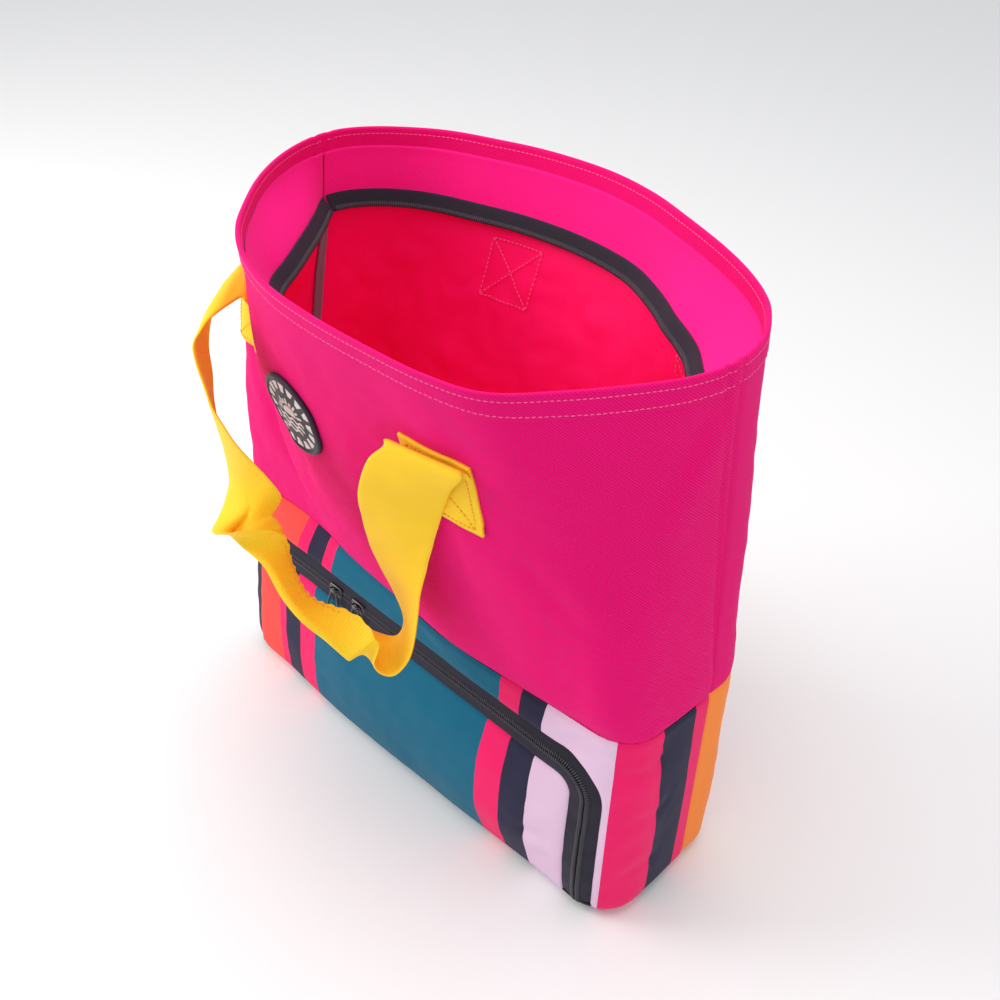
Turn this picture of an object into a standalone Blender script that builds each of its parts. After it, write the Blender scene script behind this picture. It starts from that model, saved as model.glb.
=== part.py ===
"""Two-compartment beach bag: open canvas tote over an insulated, zipped cooler.

Units are metres, +Z is up, -Y is the front, +X is the wearer's right-hand end
seen from the front. The origin is the centre of the flat base, on the surface
the bag stands on.
"""
import bpy
import bmesh
import math
from mathutils import Matrix, Vector

# ------------------------------------------------------------------ sizes
X_LEFT, X_RIGHT = -0.2585, 0.2475   # ends of the base; the left end is fuller
HALF_D = 0.0790          # half depth of the base
CORNER_R = 0.038         # soft corner radius of the cooler
# Open oval of the rim, seen from above, from the left seam to the right seam.
RIM_FRONT = [(-0.2380, 0.0330), (-0.2335, 0.0030), (-0.2200, -0.0310), (-0.1980, -0.0660),
             (-0.1670, -0.1020), (-0.1370, -0.1310), (-0.1000, -0.1540), (-0.0500, -0.1710),
             (0.0050, -0.1760), (0.0600, -0.1750), (0.1150, -0.1700), (0.1570, -0.1560),
             (0.1890, -0.1180), (0.2170, -0.0740), (0.2340, -0.0400), (0.2410, -0.0040)]
RIM_BACK = [(-0.2380, 0.0330), (-0.2320, 0.0600), (-0.2110, 0.0890), (-0.1740, 0.1200),
            (-0.1300, 0.1400), (-0.0800, 0.1570), (-0.0200, 0.1650), (0.0330, 0.1590),
            (0.0800, 0.1440), (0.1300, 0.1250), (0.1680, 0.1060), (0.1980, 0.0850),
            (0.2170, 0.0640), (0.2340, 0.0340), (0.2410, -0.0040)]
BASE_SEAM_Y = (0.004, 0.026)    # the side seams at the waist
Z_WAIST = 0.2128         # seam between cooler and tote
Z_RIM = 0.5400           # folded hem
CANVAS = 0.0015          # outer canvas
GAP = 0.0003             # running gap between neighbouring pieces
LINING = 0.0008
FACING_DROP = 0.0580     # rim to the top zip
FOAM = 0.0055            # insulation
BASE_T = 0.0020
ZIP_Z = 0.1700           # centre of the cooler zip's straight run
ZIP_LEFT, ZIP_RIGHT = -0.2460, 0.2140   # its upright runs, along the front's arc
ZIP_R = 0.0320           # corner radius of the zip
ZIP_GAP = 0.0004         # half the parting line between the two coils
ZIP_HALF = 0.0145        # half of the showing tape
COIL_HALF = 0.0045
HINGE_Z = 0.0085         # fold line of the front flap
WEB = 0.0650             # handle webbing width
WEB_T = 0.0026
ANCHOR_S = {"front": (-0.147, 0.110), "back": (-0.110, 0.147)}
ANCHOR_Z = (0.399, 0.463)
BADGE_S, BADGE_Z, BADGE_R = -0.0740, 0.3970, 0.0370

for old in list(bpy.data.objects):
    bpy.data.objects.remove(old, do_unlink=True)


# --------------------------------------------------------------- materials
def material(name, colour, rough, metal=0.0):
    m = bpy.data.materials.new(name)
    m.use_nodes = True
    b = m.node_tree.nodes["Principled BSDF"]
    b.inputs["Base Color"].default_value = (*colour, 1.0)
    b.inputs["Roughness"].default_value = rough
    b.inputs["Metallic"].default_value = metal
    m.diffuse_color = (*colour, 1.0)
    return m


PINK = (0.87, 0.03, 0.28)
LINER_RED = (0.85, 0.01, 0.10)
YELLOW = (0.93, 0.55, 0.03)
BLACK = (0.018, 0.016, 0.024)
NAVY = (0.028, 0.026, 0.068)
TEAL = (0.008, 0.16, 0.24)
LILAC = (0.78, 0.55, 0.76)
GREY = (0.36, 0.36, 0.38)
WHITE = (0.85, 0.85, 0.86)
SILVER = (0.62, 0.63, 0.65)


# ------------------------------------------------------------ bag surface
def resample(points, n):
    """n+1 points equally spaced along a polyline, and its length."""
    acc = [0.0]
    for p, q in zip(points, points[1:]):
        acc.append(acc[-1] + math.hypot(q[0] - p[0], q[1] - p[1]))
    out, j = [], 0
    for i in range(n + 1):
        d = acc[-1] * i / n
        while j < len(acc) - 2 and acc[j + 1] < d:
            j += 1
        f = (d - acc[j]) / max(acc[j + 1] - acc[j], 1e-12)
        p, q = points[j], points[j + 1]
        out.append((p[0] + (q[0] - p[0]) * f, p[1] + (q[1] - p[1]) * f))
    return out, acc[-1]


def base_half(side):
    """Rounded rectangle from the left seam to the right seam; side -1 front."""
    b, r = HALF_D, CORNER_R
    pts = [(X_LEFT, BASE_SEAM_Y[0])]
    for k in range(13):
        t = math.pi / 2 * k / 12
        pts.append((X_LEFT + r - r * math.cos(t), side * (b - r + r * math.sin(t))))
    for k in range(13):
        t = math.pi / 2 * (1 - k / 12)
        pts.append((X_RIGHT - r + r * math.cos(t), side * (b - r + r * math.sin(t))))
    pts.append((X_RIGHT, BASE_SEAM_Y[1]))
    return pts


def rim_half(side):
    """Smooth curve through the rim's points."""
    rows, other = (RIM_FRONT, RIM_BACK) if side < 0 else (RIM_BACK, RIM_FRONT)
    n, out = len(rows), []
    ring = [other[1]] + rows + [other[-2]]
    for i in range(n - 1):
        a, b, c, d = ring[i:i + 4]
        for k in range(16):
            t = k / 16
            out.append(tuple(0.5 * (2 * b[j] + (c[j] - a[j]) * t
                                    + (2 * a[j] - 5 * b[j] + 4 * c[j] - d[j]) * t * t
                                    + (3 * b[j] - a[j] - 3 * c[j] + d[j]) * t ** 3)
                             for j in range(2)))
    out.append(rows[-1])
    return out


FINE = 1200
CURVES = {}
for _side in (-1, 1):
    CURVES[_side] = (resample(base_half(_side), FINE), resample(rim_half(_side), FINE))


def knots(side):
    """Column positions: close together round the corners, wider on the flats."""
    straight = HALF_D - CORNER_R
    ends = [straight + (BASE_SEAM_Y[0] if side < 0 else -BASE_SEAM_Y[0]),
            straight + (BASE_SEAM_Y[1] if side < 0 else -BASE_SEAM_Y[1])]
    runs = [(ends[0], 2), (math.pi / 2 * CORNER_R, 6), (X_RIGHT - X_LEFT - 2 * CORNER_R, 12),
            (math.pi / 2 * CORNER_R, 6), (ends[1], 2)]
    total = sum(r[0] for r in runs)
    us, at = [0.0], 0.0
    for length, n in runs:
        us += [(at + length * (k + 1) / n) / total for k in range(n)]
        at += length
    us[-1] = 1.0
    return us


KNOTS = {-1: knots(-1), 1: knots(1)}


def half_length(side, z):
    (_, lb), (_, lr) = CURVES[side]
    w = min(max((z - Z_WAIST) / (Z_RIM - Z_WAIST), 0.0), 1.1)
    return lb + (lr - lb) * w


def knot_point(side, i, z, off):
    """A point on column i, with its outward direction from the true curve."""
    (cb, _), (cr, _) = CURVES[side]
    w = max((z - Z_WAIST) / (Z_RIM - Z_WAIST), 0.0)

    def mix(u):
        j = min(max(int(round(u * FINE)), 0), FINE)
        p, q = cb[j], cr[j]
        return (p[0] + (q[0] - p[0]) * w, p[1] + (q[1] - p[1]) * w)

    u = KNOTS[side][i]
    p, a, b = mix(u), mix(u - 0.004), mix(u + 0.004)
    tx, ty = b[0] - a[0], b[1] - a[1]
    ln = math.hypot(tx, ty)
    nx, ny = (ty / ln, -tx / ln) if side < 0 else (-ty / ln, tx / ln)
    return Vector((p[0] + nx * off, p[1] + ny * off, z))


def skin(side, u, z, off=0.0):
    """Point of the outer skin: u 0..1 from left to right seam, off outwards."""
    ks = KNOTS[side]
    u = min(max(u, 0.0), 1.0)
    i = 0
    while i < len(ks) - 2 and ks[i + 1] <= u:
        i += 1
    f = (u - ks[i]) / (ks[i + 1] - ks[i])
    return knot_point(side, i, z, off).lerp(knot_point(side, i + 1, z, off), f)


def columns(side, u0, u1):
    return [u0] + [k for k in KNOTS[side] if u0 + 0.001 < k < u1 - 0.001] + [u1]


def skin_s(side, s, z, off=0.0):
    """The same by arc distance s, counted from the base's x = 0."""
    reach = (HALF_D - CORNER_R + (BASE_SEAM_Y[0] if side < 0 else -BASE_SEAM_Y[0])
             + math.pi / 2 * CORNER_R + (-X_LEFT - CORNER_R))
    u_mid = reach / CURVES[side][0][1]
    return skin(side, u_mid + s / half_length(side, z), z, off)


def arc_u(side, s):
    """u of arc distance s at the base."""
    reach = (HALF_D - CORNER_R + (BASE_SEAM_Y[0] if side < 0 else -BASE_SEAM_Y[0])
             + math.pi / 2 * CORNER_R + (-X_LEFT - CORNER_R))
    return (reach + s) / CURVES[side][0][1]


# ---------------------------------------------------------------- builders
def new_object(name, bm, mat, smooth=True, parent=None):
    me = bpy.data.meshes.new(name)
    bm.normal_update()
    bm.to_mesh(me)
    bm.free()
    ob = bpy.data.objects.new(name, me)
    bpy.context.scene.collection.objects.link(ob)
    me.materials.append(mat)
    if smooth:
        me.shade_smooth()
        me.set_sharp_from_angle(angle=math.radians(35))
    if parent is not None:
        ob.parent = parent
        ob.matrix_parent_inverse = parent.matrix_world.inverted()
    return ob


def grid_faces(bm, rows, flip=False):
    vs = [[bm.verts.new(p) for p in row] for row in rows]
    for r0, r1 in zip(vs, vs[1:]):
        for k in range(len(r0) - 1):
            quad = [r0[k], r0[k + 1], r1[k + 1], r1[k]]
            bm.faces.new(quad[::-1] if flip else quad)
    return vs


def cloth(name, rows, thick, mat, flip=False, parent=None):
    """A sheet of cloth given by its outer surface, thickened inwards."""
    bm = bmesh.new()
    grid_faces(bm, rows, flip)
    ob = new_object(name, bm, mat, parent=parent)
    mod = ob.modifiers.new("thickness", "SOLIDIFY")
    mod.thickness = thick
    mod.offset = -1.0
    mod.use_even_offset = True
    mod.use_rim = True
    return ob


def wall(name, side, z0, z1, off, thick, mat, nz=4, u0=0.0004, u1=0.9996):
    rows = []
    for j in range(nz + 1):
        z = z0 + (z1 - z0) * j / nz
        rows.append([skin(side, u, z, off) for u in columns(side, u0, u1)])
    return cloth(name, rows, thick, mat, flip=(side > 0))


def box(name, lo, hi, mat, bevel=0.0, parent=None, segments=2):
    bm = bmesh.new()
    bmesh.ops.create_cube(bm, size=1.0)
    for v in bm.verts:
        v.co = Vector((lo[0] + (v.co.x + 0.5) * (hi[0] - lo[0]),
                       lo[1] + (v.co.y + 0.5) * (hi[1] - lo[1]),
                       lo[2] + (v.co.z + 0.5) * (hi[2] - lo[2])))
    ob = new_object(name, bm, mat, parent=parent)
    if bevel:
        mod = ob.modifiers.new("edge", "BEVEL")
        mod.width = bevel
        mod.segments = segments
        mod.limit_method = "ANGLE"
        mod.use_clamp_overlap = True
    return ob


def slab(name, outline, z0, z1, mat):
    """A flat piece cut to an outline."""
    bm = bmesh.new()
    vs = [bm.verts.new((x, y, z0)) for x, y in outline]
    f = bm.faces.new(vs)
    if f.normal.z > 0 or f.calc_area() and sum(
            (a[0] * b[1] - b[0] * a[1]) for a, b in zip(outline, outline[1:] + outline[:1])) > 0:
        bmesh.ops.reverse_faces(bm, faces=[f])
    ret = bmesh.ops.extrude_face_region(bm, geom=[f])
    up = [g for g in ret["geom"] if isinstance(g, bmesh.types.BMVert)]
    bmesh.ops.translate(bm, verts=up, vec=(0, 0, z1 - z0))
    bmesh.ops.recalc_face_normals(bm, faces=bm.faces)
    return new_object(name, bm, mat)


def footprint(off):
    out = []
    for u in KNOTS[-1][:-1]:
        p = skin(-1, u, 0.0, off)
        out.append((p.x, p.y))
    for u in KNOTS[1][:0:-1]:
        p = skin(1, u, 0.0, off)
        out.append((p.x, p.y))
    return out


# ============================================================ cooler compartment
base_z = BASE_T + GAP
slab("cooler_base_panel", footprint(0.0), 0.0, BASE_T, material("base_panel", NAVY, 0.7))

# U-shaped zip line on the front: arc distance s and height z, left to right
ARC_STEPS = 7


def zip_line():
    pts = []
    z_top, r, z0 = ZIP_Z, ZIP_R, HINGE_Z
    for k in range(4):
        pts.append((ZIP_LEFT, z0 + (z_top - r - z0) * k / 4, (-1.0, 0.0)))
    for k in range(ARC_STEPS + 1):
        t = math.pi / 2 * k / ARC_STEPS
        pts.append((ZIP_LEFT + r - r * math.cos(t), z_top - r + r * math.sin(t),
                    (-math.cos(t), math.sin(t))))
    for k in range(1, 10):
        s = ZIP_LEFT + r + (ZIP_RIGHT - ZIP_LEFT - 2 * r) * k / 10
        pts.append((s, z_top, (0.0, 1.0)))
    for k in range(ARC_STEPS + 1):
        t = math.pi / 2 * (1 - k / ARC_STEPS)
        pts.append((ZIP_RIGHT - r + r * math.cos(t), z_top - r + r * math.sin(t),
                    (math.cos(t), math.sin(t))))
    for k in range(1, 5):
        pts.append((ZIP_RIGHT, z_top - r - (z_top - r - z0) * k / 4, (1.0, 0.0)))
    return pts


ZIP = zip_line()


def along_zip(name, o0, o1, off, thick, mat, parent=None, steps=1):
    """A strip that follows the zip, from offset o0 to o1 outwards of its centre."""
    rows = []
    for j in range(steps + 1):
        o = o0 + (o1 - o0) * j / steps
        rows.append([skin_s(-1, s + n[0] * o, z + n[1] * o, off) for s, z, n in ZIP])
    return cloth(name, rows, thick, mat, flip=False, parent=parent)


def front_frame():
    """Front panel with the U-shaped cut for the flap; it wraps to both seams."""
    length = half_length(-1, 0.0)
    lo_s = -arc_u(-1, 0.0) * length + 0.0003
    hi_s = (1 - arc_u(-1, 0.0)) * length - 0.0003
    cut = ZIP_HALF + GAP
    left, right, r = ZIP_LEFT - cut, ZIP_RIGHT + cut, ZIP_R + cut
    z_arc, z_top = ZIP_Z - ZIP_R, Z_WAIST - GAP
    marks = [(u - arc_u(-1, 0.0)) * length for u in KNOTS[-1]]
    arc = [r - r * math.cos(math.pi / 2 * k / 6) for k in range(1, 7)]
    cols = [lo_s, left, right, hi_s] + [left + x for x in arc] + [right - x for x in arc]
    cols += [m for m in marks if lo_s + 0.001 < m < hi_s - 0.001
             and min(abs(m - c) for c in cols) > 0.0025]
    cols.sort()

    def low(s):
        x = max(left + r - s, s - (right - r), 0.0)
        return z_arc + math.sqrt(max(r * r - x * x, 0.0))

    n_up, n_down = 3, 2
    bm = bmesh.new()
    upper, lower = [], []
    for s in cols:
        inside = left + 1e-6 < s < right - 1e-6
        z0 = low(s) if inside else z_arc
        upper.append([bm.verts.new(skin_s(-1, s, z0 + (z_top - z0) * j / n_up))
                      for j in range(n_up + 1)])
        if inside:
            lower.append(None)
        else:
            col = [bm.verts.new(skin_s(-1, s, base_z + (z_arc - base_z) * j / n_down))
                   for j in range(n_down)]
            lower.append(col + [upper[-1][0]])
    for i in range(len(cols) - 1):
        for j in range(n_up):
            bm.faces.new([upper[i][j], upper[i + 1][j], upper[i + 1][j + 1], upper[i][j + 1]])
        if lower[i] and lower[i + 1]:
            for j in range(n_down):
                bm.faces.new([lower[i][j], lower[i + 1][j], lower[i + 1][j + 1], lower[i][j + 1]])
    ob = new_object("cooler_front_panel", bm, material("striped_front", TEAL, 0.55))
    mod = ob.modifiers.new("thickness", "SOLIDIFY")
    mod.thickness = CANVAS
    mod.offset = -1.0
    mod.use_even_offset = True
    return ob


front_frame()
wall("cooler_back_panel", 1, base_z, Z_WAIST - GAP, 0.0, CANVAS,
     material("striped_back", LILAC, 0.55), nz=2)

zip_black = material("zip_tape", BLACK, 0.75)
coil_black = material("zip_coil", BLACK, 0.4)
along_zip("cooler_zip_tape_frame", ZIP_GAP, ZIP_HALF - 0.0011, -0.0002, 0.0010, zip_black, steps=2)
along_zip("cooler_zip_coil_frame", ZIP_GAP, COIL_HALF, 0.0020, 0.0019, coil_black)

# insulation and liner behind the skins
inner_o = -(CANVAS + GAP)
foam_o = inner_o - 0.0010
foam_m = material("foam", (0.80, 0.80, 0.78), 0.9)
foam_z0, foam_z1 = base_z + FOAM + GAP, 0.1985
slab("cooler_base_foam", footprint(foam_o), base_z, base_z + FOAM, foam_m)
wall("cooler_back_foam", 1, foam_z0, foam_z1, foam_o, FOAM, foam_m, nz=1,
     u0=0.13, u1=0.87)
for nm, side_u in (("left", (0.004, 0.127)), ("right", (0.873, 0.996))):
    wall("cooler_rear_corner_foam_" + nm, 1, foam_z0, foam_z1, foam_o, FOAM, foam_m,
         nz=1, u0=side_u[0], u1=side_u[1])
edge = ZIP_HALF + 0.0012
wall("cooler_side_foam_left", -1, foam_z0, foam_z1, foam_o, FOAM, foam_m, nz=1,
     u0=0.004, u1=arc_u(-1, ZIP_LEFT - edge))
wall("cooler_side_foam_right", -1, foam_z0, foam_z1, foam_o, FOAM, foam_m, nz=1,
     u0=arc_u(-1, ZIP_RIGHT + edge), u1=0.996)
wall("cooler_header_foam", -1, ZIP_Z + ZIP_HALF + 0.002, foam_z1, foam_o, FOAM, foam_m,
     nz=1, u0=arc_u(-1, -0.2150), u1=arc_u(-1, 0.2050))


def liner():
    """Wipe-clean liner: floor, back, ends and ceiling in one, open at the front."""
    off = foam_o - FOAM - GAP
    z0, z1 = foam_z0, 0.1975
    u_left, u_right = arc_u(-1, -0.2240), arc_u(-1, 0.1980)
    path = [skin(-1, u, 0.0, off) for u in columns(-1, 0.0, u_left)[::-1]]
    path += [skin(1, u, 0.0, off) for u in KNOTS[1][1:]]
    path += [skin(-1, u, 0.0, off) for u in columns(-1, u_right, 1.0)[::-1][1:]]
    bm = bmesh.new()
    lo = [bm.verts.new((p.x, p.y, z0)) for p in path]
    hi = [bm.verts.new((p.x, p.y, z1)) for p in path]
    for k in range(len(path) - 1):
        bm.faces.new([lo[k], hi[k], hi[k + 1], lo[k + 1]])
    bm.faces.new(lo)
    bm.faces.new(list(reversed(hi)))
    bmesh.ops.recalc_face_normals(bm, faces=bm.faces)
    ob = new_object("cooler_liner", bm, material("liner", SILVER, 0.3))
    mod = ob.modifiers.new("thickness", "SOLIDIFY")
    mod.thickness = 0.0008
    mod.offset = -1.0
    mod.use_even_offset = True
    mod.use_rim = True
    return ob


liner()
wall_in = inner_o - 0.0004
slab("divider_foam", footprint(wall_in), 0.1990, 0.2080, foam_m)
slab("tote_floor", footprint(wall_in - 0.0020), 0.2140, 0.2158,
     material("tote_floor", LINER_RED, 0.7))
slab("divider_board", footprint(wall_in - 0.0004), 0.2084, 0.2124,
     material("divider_board", (0.25, 0.25, 0.26), 0.6))

# ------------------------------------------------------------- front flap
hinge = bpy.data.objects.new("flap_hinge", None)
bpy.context.scene.collection.objects.link(hinge)
hinge.location = (0.0, -HALF_D, HINGE_Z)
bpy.context.view_layer.update()


def flap_sheet(name, inset, off, thick, mat, nz=4, z_low=HINGE_Z + 0.0012, parent=None):
    rows = []
    left = ZIP_LEFT + ZIP_HALF + GAP + inset
    right = ZIP_RIGHT - ZIP_HALF - GAP - inset
    z_max = ZIP_Z - ZIP_HALF - GAP - inset
    r = ZIP_R - ZIP_HALF - inset
    cols = []
    for k in range(7):
        t = math.pi / 2 * k / 6
        cols.append((left + r - r * math.cos(t), z_max - r + r * math.sin(t)))
    for k in range(1, 10):
        cols.append((left + r + (right - left - 2 * r) * k / 10, z_max))
    for k in range(7):
        t = math.pi / 2 * (1 - k / 6)
        cols.append((right - r + r * math.cos(t), z_max - r + r * math.sin(t)))
    for j in range(nz + 1):
        f = j / nz
        rows.append([skin_s(-1, s, z_low + (zt - z_low) * f, off) for s, zt in cols])
    return cloth(name, rows, thick, mat, parent=parent)


flap_sheet("cooler_flap", 0.0, 0.0, CANVAS, material("striped_flap", TEAL, 0.55), parent=hinge)
flap_sheet("flap_foam", 0.004, inner_o, FOAM - 0.0005, foam_m, nz=1, parent=hinge)
flap_sheet("flap_liner", 0.004, inner_o - FOAM, 0.0008, material("flap_liner", SILVER, 0.3),
           nz=1, parent=hinge)


def inner_strip(name, o0, o1, off, thick, mat):
    rows = []
    for o in (o0, o1):
        rows.append([skin_s(-1, s + n[0] * o, max(z + n[1] * o, HINGE_Z + 0.0012), off)
                     for s, z, n in ZIP])
    return cloth(name, rows, thick, mat, parent=hinge)


inner_strip("cooler_zip_tape_flap", -ZIP_HALF, -ZIP_GAP, -0.0002, 0.0010, zip_black)
inner_strip("cooler_zip_coil_flap", -COIL_HALF, -ZIP_GAP, 0.0020, 0.0019, coil_black)

# zip end tabs, sewn to the frame where the zip meets the base seam
tab_m = material("zip_tab", BLACK, 0.6)
for nm, mid in (("left", ZIP_LEFT), ("right", ZIP_RIGHT)):
    rows = []
    for z in (base_z + 0.0003, HINGE_Z - 0.0004):
        rows.append([skin_s(-1, mid + (k / 4 - 0.5) * 2 * (ZIP_HALF - 0.0007), z, 0.0)
                     for k in range(5)])
    cloth("cooler_zip_end_" + nm, rows, CANVAS, tab_m)

# sliders and pullers on the straight run
SLIDER_X = {"left": -0.0980, "right": -0.0665}
metal_black = material("slider", (0.02, 0.02, 0.022), 0.25, 0.3)
for nm, x in SLIDER_X.items():
    y0 = -HALF_D - 0.0024
    rail = bpy.data.objects.new("slider_%s_rail" % nm, None)
    bpy.context.scene.collection.objects.link(rail)
    rail.location = (x, y0, ZIP_Z)
    bpy.context.view_layer.update()
    # body straddles the frame's half of the coil
    box("cooler_slider_" + nm, (x - 0.0085, y0 - 0.0040, ZIP_Z + 0.0002),
        (x + 0.0085, y0, ZIP_Z + 0.0078), metal_black, bevel=0.0012, parent=rail)
    pin_z = ZIP_Z + 0.0040
    pin_y = y0 - 0.0072
    swing = bpy.data.objects.new("puller_%s_pin" % nm, None)
    bpy.context.scene.collection.objects.link(swing)
    swing.location = (x, pin_y, pin_z)
    swing.parent = rail
    swing.matrix_parent_inverse = rail.matrix_world.inverted()
    bpy.context.view_layer.update()
    # loop puller: a flattened ring hanging from the slider's bridge
    bm = bmesh.new()
    ring, tube = [], 0.0011
    steps = 16
    for k in range(steps):
        t = 2 * math.pi * k / steps
        ring.append(Vector((x + 0.0058 * math.cos(t), pin_y,
                            pin_z - 0.0105 + (0.0120 if math.sin(t) > 0 else 0.0110) * math.sin(t))))
    loops = []
    for k, c in enumerate(ring):
        nxt, prv = ring[(k + 1) % steps], ring[k - 1]
        tan = (nxt - prv).normalized()
        nrm = Vector((0, 1, 0))
        side_v = tan.cross(nrm).normalized()
        loops.append([bm.verts.new(c + (nrm * math.cos(a) + side_v * math.sin(a)) * tube)
                      for a in (0, math.pi / 3, 2 * math.pi / 3, math.pi,
                                4 * math.pi / 3, 5 * math.pi / 3)])
    for k in range(steps):
        a, b = loops[k], loops[(k + 1) % steps]
        for i in range(6):
            bm.faces.new([a[i], a[(i + 1) % 6], b[(i + 1) % 6], b[i]])
    bmesh.ops.recalc_face_normals(bm, faces=bm.faces)
    new_object("cooler_puller_" + nm, bm, metal_black, parent=swing)

# ================================================================ tote
pink_m = material("pink_canvas", PINK, 0.75)
wall("tote_front_panel", -1, Z_WAIST, Z_RIM, 0.0, CANVAS, pink_m, nz=6)
wall("tote_back_panel", 1, Z_WAIST, Z_RIM, 0.0, CANVAS, material("pink_canvas_back", PINK, 0.75), nz=6)
face_z = Z_RIM - FACING_DROP
facing_o = inner_o - 0.0014
lining_o = inner_o - 0.0014
face_m = material("pink_facing", PINK, 0.75)
lin_m = material("red_lining", LINER_RED, 0.6)
for nm, sd in (("front", -1), ("back", 1)):
    wall("tote_%s_facing" % nm, sd, face_z + GAP, Z_RIM - 0.001, facing_o, 0.0010, face_m, nz=1)
    wall("tote_%s_lining" % nm, sd, 0.2165, face_z, lining_o, LINING, lin_m, nz=5)
    wall("top_zip_tape_" + nm, sd, face_z - 0.0140, face_z + 0.0040, lining_o - 0.0018,
         0.0007, zip_black, nz=1, u0=0.008, u1=0.992)
    wall("top_zip_coil_" + nm, sd, face_z - 0.0138, face_z - 0.0092, lining_o - 0.0032,
         0.0018, coil_black, nz=1, u0=0.012, u1=0.988)

# grey bindings over the lining's two side seams
bind_m = material("grey_binding", GREY, 0.8)
for nm, ends in (("left", 0), ("right", 1)):
    rows = []
    for j in range(4):
        z = 0.2175 + (face_z - 0.0160 - 0.2175) * j / 3
        row = []
        for side, us in ((-1, (0.010, 0.0)), (1, (0.010,))):
            for u in us:
                uu = u if ends == 0 else 1 - u
                row.append(skin(side, uu, z, lining_o - 0.0016))
        rows.append(row)
    cloth("lining_seam_binding_" + nm, rows, 0.0008, bind_m, flip=(ends == 0))

# top zip's slider, parked at the right end of the open zip
end = skin(-1, 0.985, face_z - 0.012, lining_o - 0.0100)
bm_lo = Vector((end.x - 0.0140, end.y - 0.0040, face_z - 0.0155))
top_slider_hi = Vector((end.x - 0.0020, end.y + 0.0040, face_z - 0.0075))
box("top_zip_slider", bm_lo, top_slider_hi, metal_black, bevel=0.0010)
top_pin = bpy.data.objects.new("top_puller_pin", None)
bpy.context.scene.collection.objects.link(top_pin)
top_pin.location = ((bm_lo.x + top_slider_hi.x) / 2, (bm_lo.y + top_slider_hi.y) / 2,
                    bm_lo.z - 0.0008)
bpy.context.view_layer.update()
box("top_zip_puller", (top_pin.location.x - 0.0007, top_pin.location.y - 0.0035, bm_lo.z - 0.0330),
    (top_pin.location.x + 0.0007, top_pin.location.y + 0.0035, bm_lo.z - 0.0008), metal_black,
    bevel=0.0005, parent=top_pin)

# ---------------------------------------------------------------- badge
rubber = material("badge_rubber", (0.035, 0.035, 0.055), 0.55)
print_white = material("badge_white", WHITE, 0.5)


def disc(name, radius, off, thick, mat, rings=3, n=28, arc=None):
    bm = bmesh.new()
    centre = bm.verts.new(skin_s(-1, BADGE_S, BADGE_Z, off))
    prev = None
    for j in range(1, rings + 1):
        r = radius * j / rings
        cur = [bm.verts.new(skin_s(-1, BADGE_S + r * math.cos(2 * math.pi * k / n),
                                   BADGE_Z + r * math.sin(2 * math.pi * k / n), off))
               for k in range(n)]
        for k in range(n):
            if prev is None:
                bm.faces.new([centre, cur[k], cur[(k + 1) % n]])
            else:
                bm.faces.new([prev[k], cur[k], cur[(k + 1) % n], prev[(k + 1) % n]])
        prev = cur
    ob = new_object(name, bm, mat)
    mod = ob.modifiers.new("thickness", "SOLIDIFY")
    mod.thickness = thick
    mod.offset = -1.0
    mod.use_even_offset = True
    return ob


disc("badge_base", BADGE_R, 0.0036, 0.0022, rubber)
# raised sun ring: an annulus proud of the base
bm = bmesh.new()
n = 28
rings = []
for r in (0.55 * BADGE_R, 0.86 * BADGE_R):
    rings.append([bm.verts.new(skin_s(-1, BADGE_S + r * math.cos(2 * math.pi * k / n),
                                      BADGE_Z + r * math.sin(2 * math.pi * k / n), 0.0050))
                  for k in range(n)])
for k in range(n):
    bm.faces.new([rings[0][k], rings[1][k], rings[1][(k + 1) % n], rings[0][(k + 1) % n]])
relief = new_object("badge_relief", bm, print_white)
mod = relief.modifiers.new("thickness", "SOLIDIFY")
mod.thickness = 0.0007
mod.offset = -1.0

# ---------------------------------------------------------------- handles
web_m = material("yellow_webbing", YELLOW, 0.7)

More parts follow.
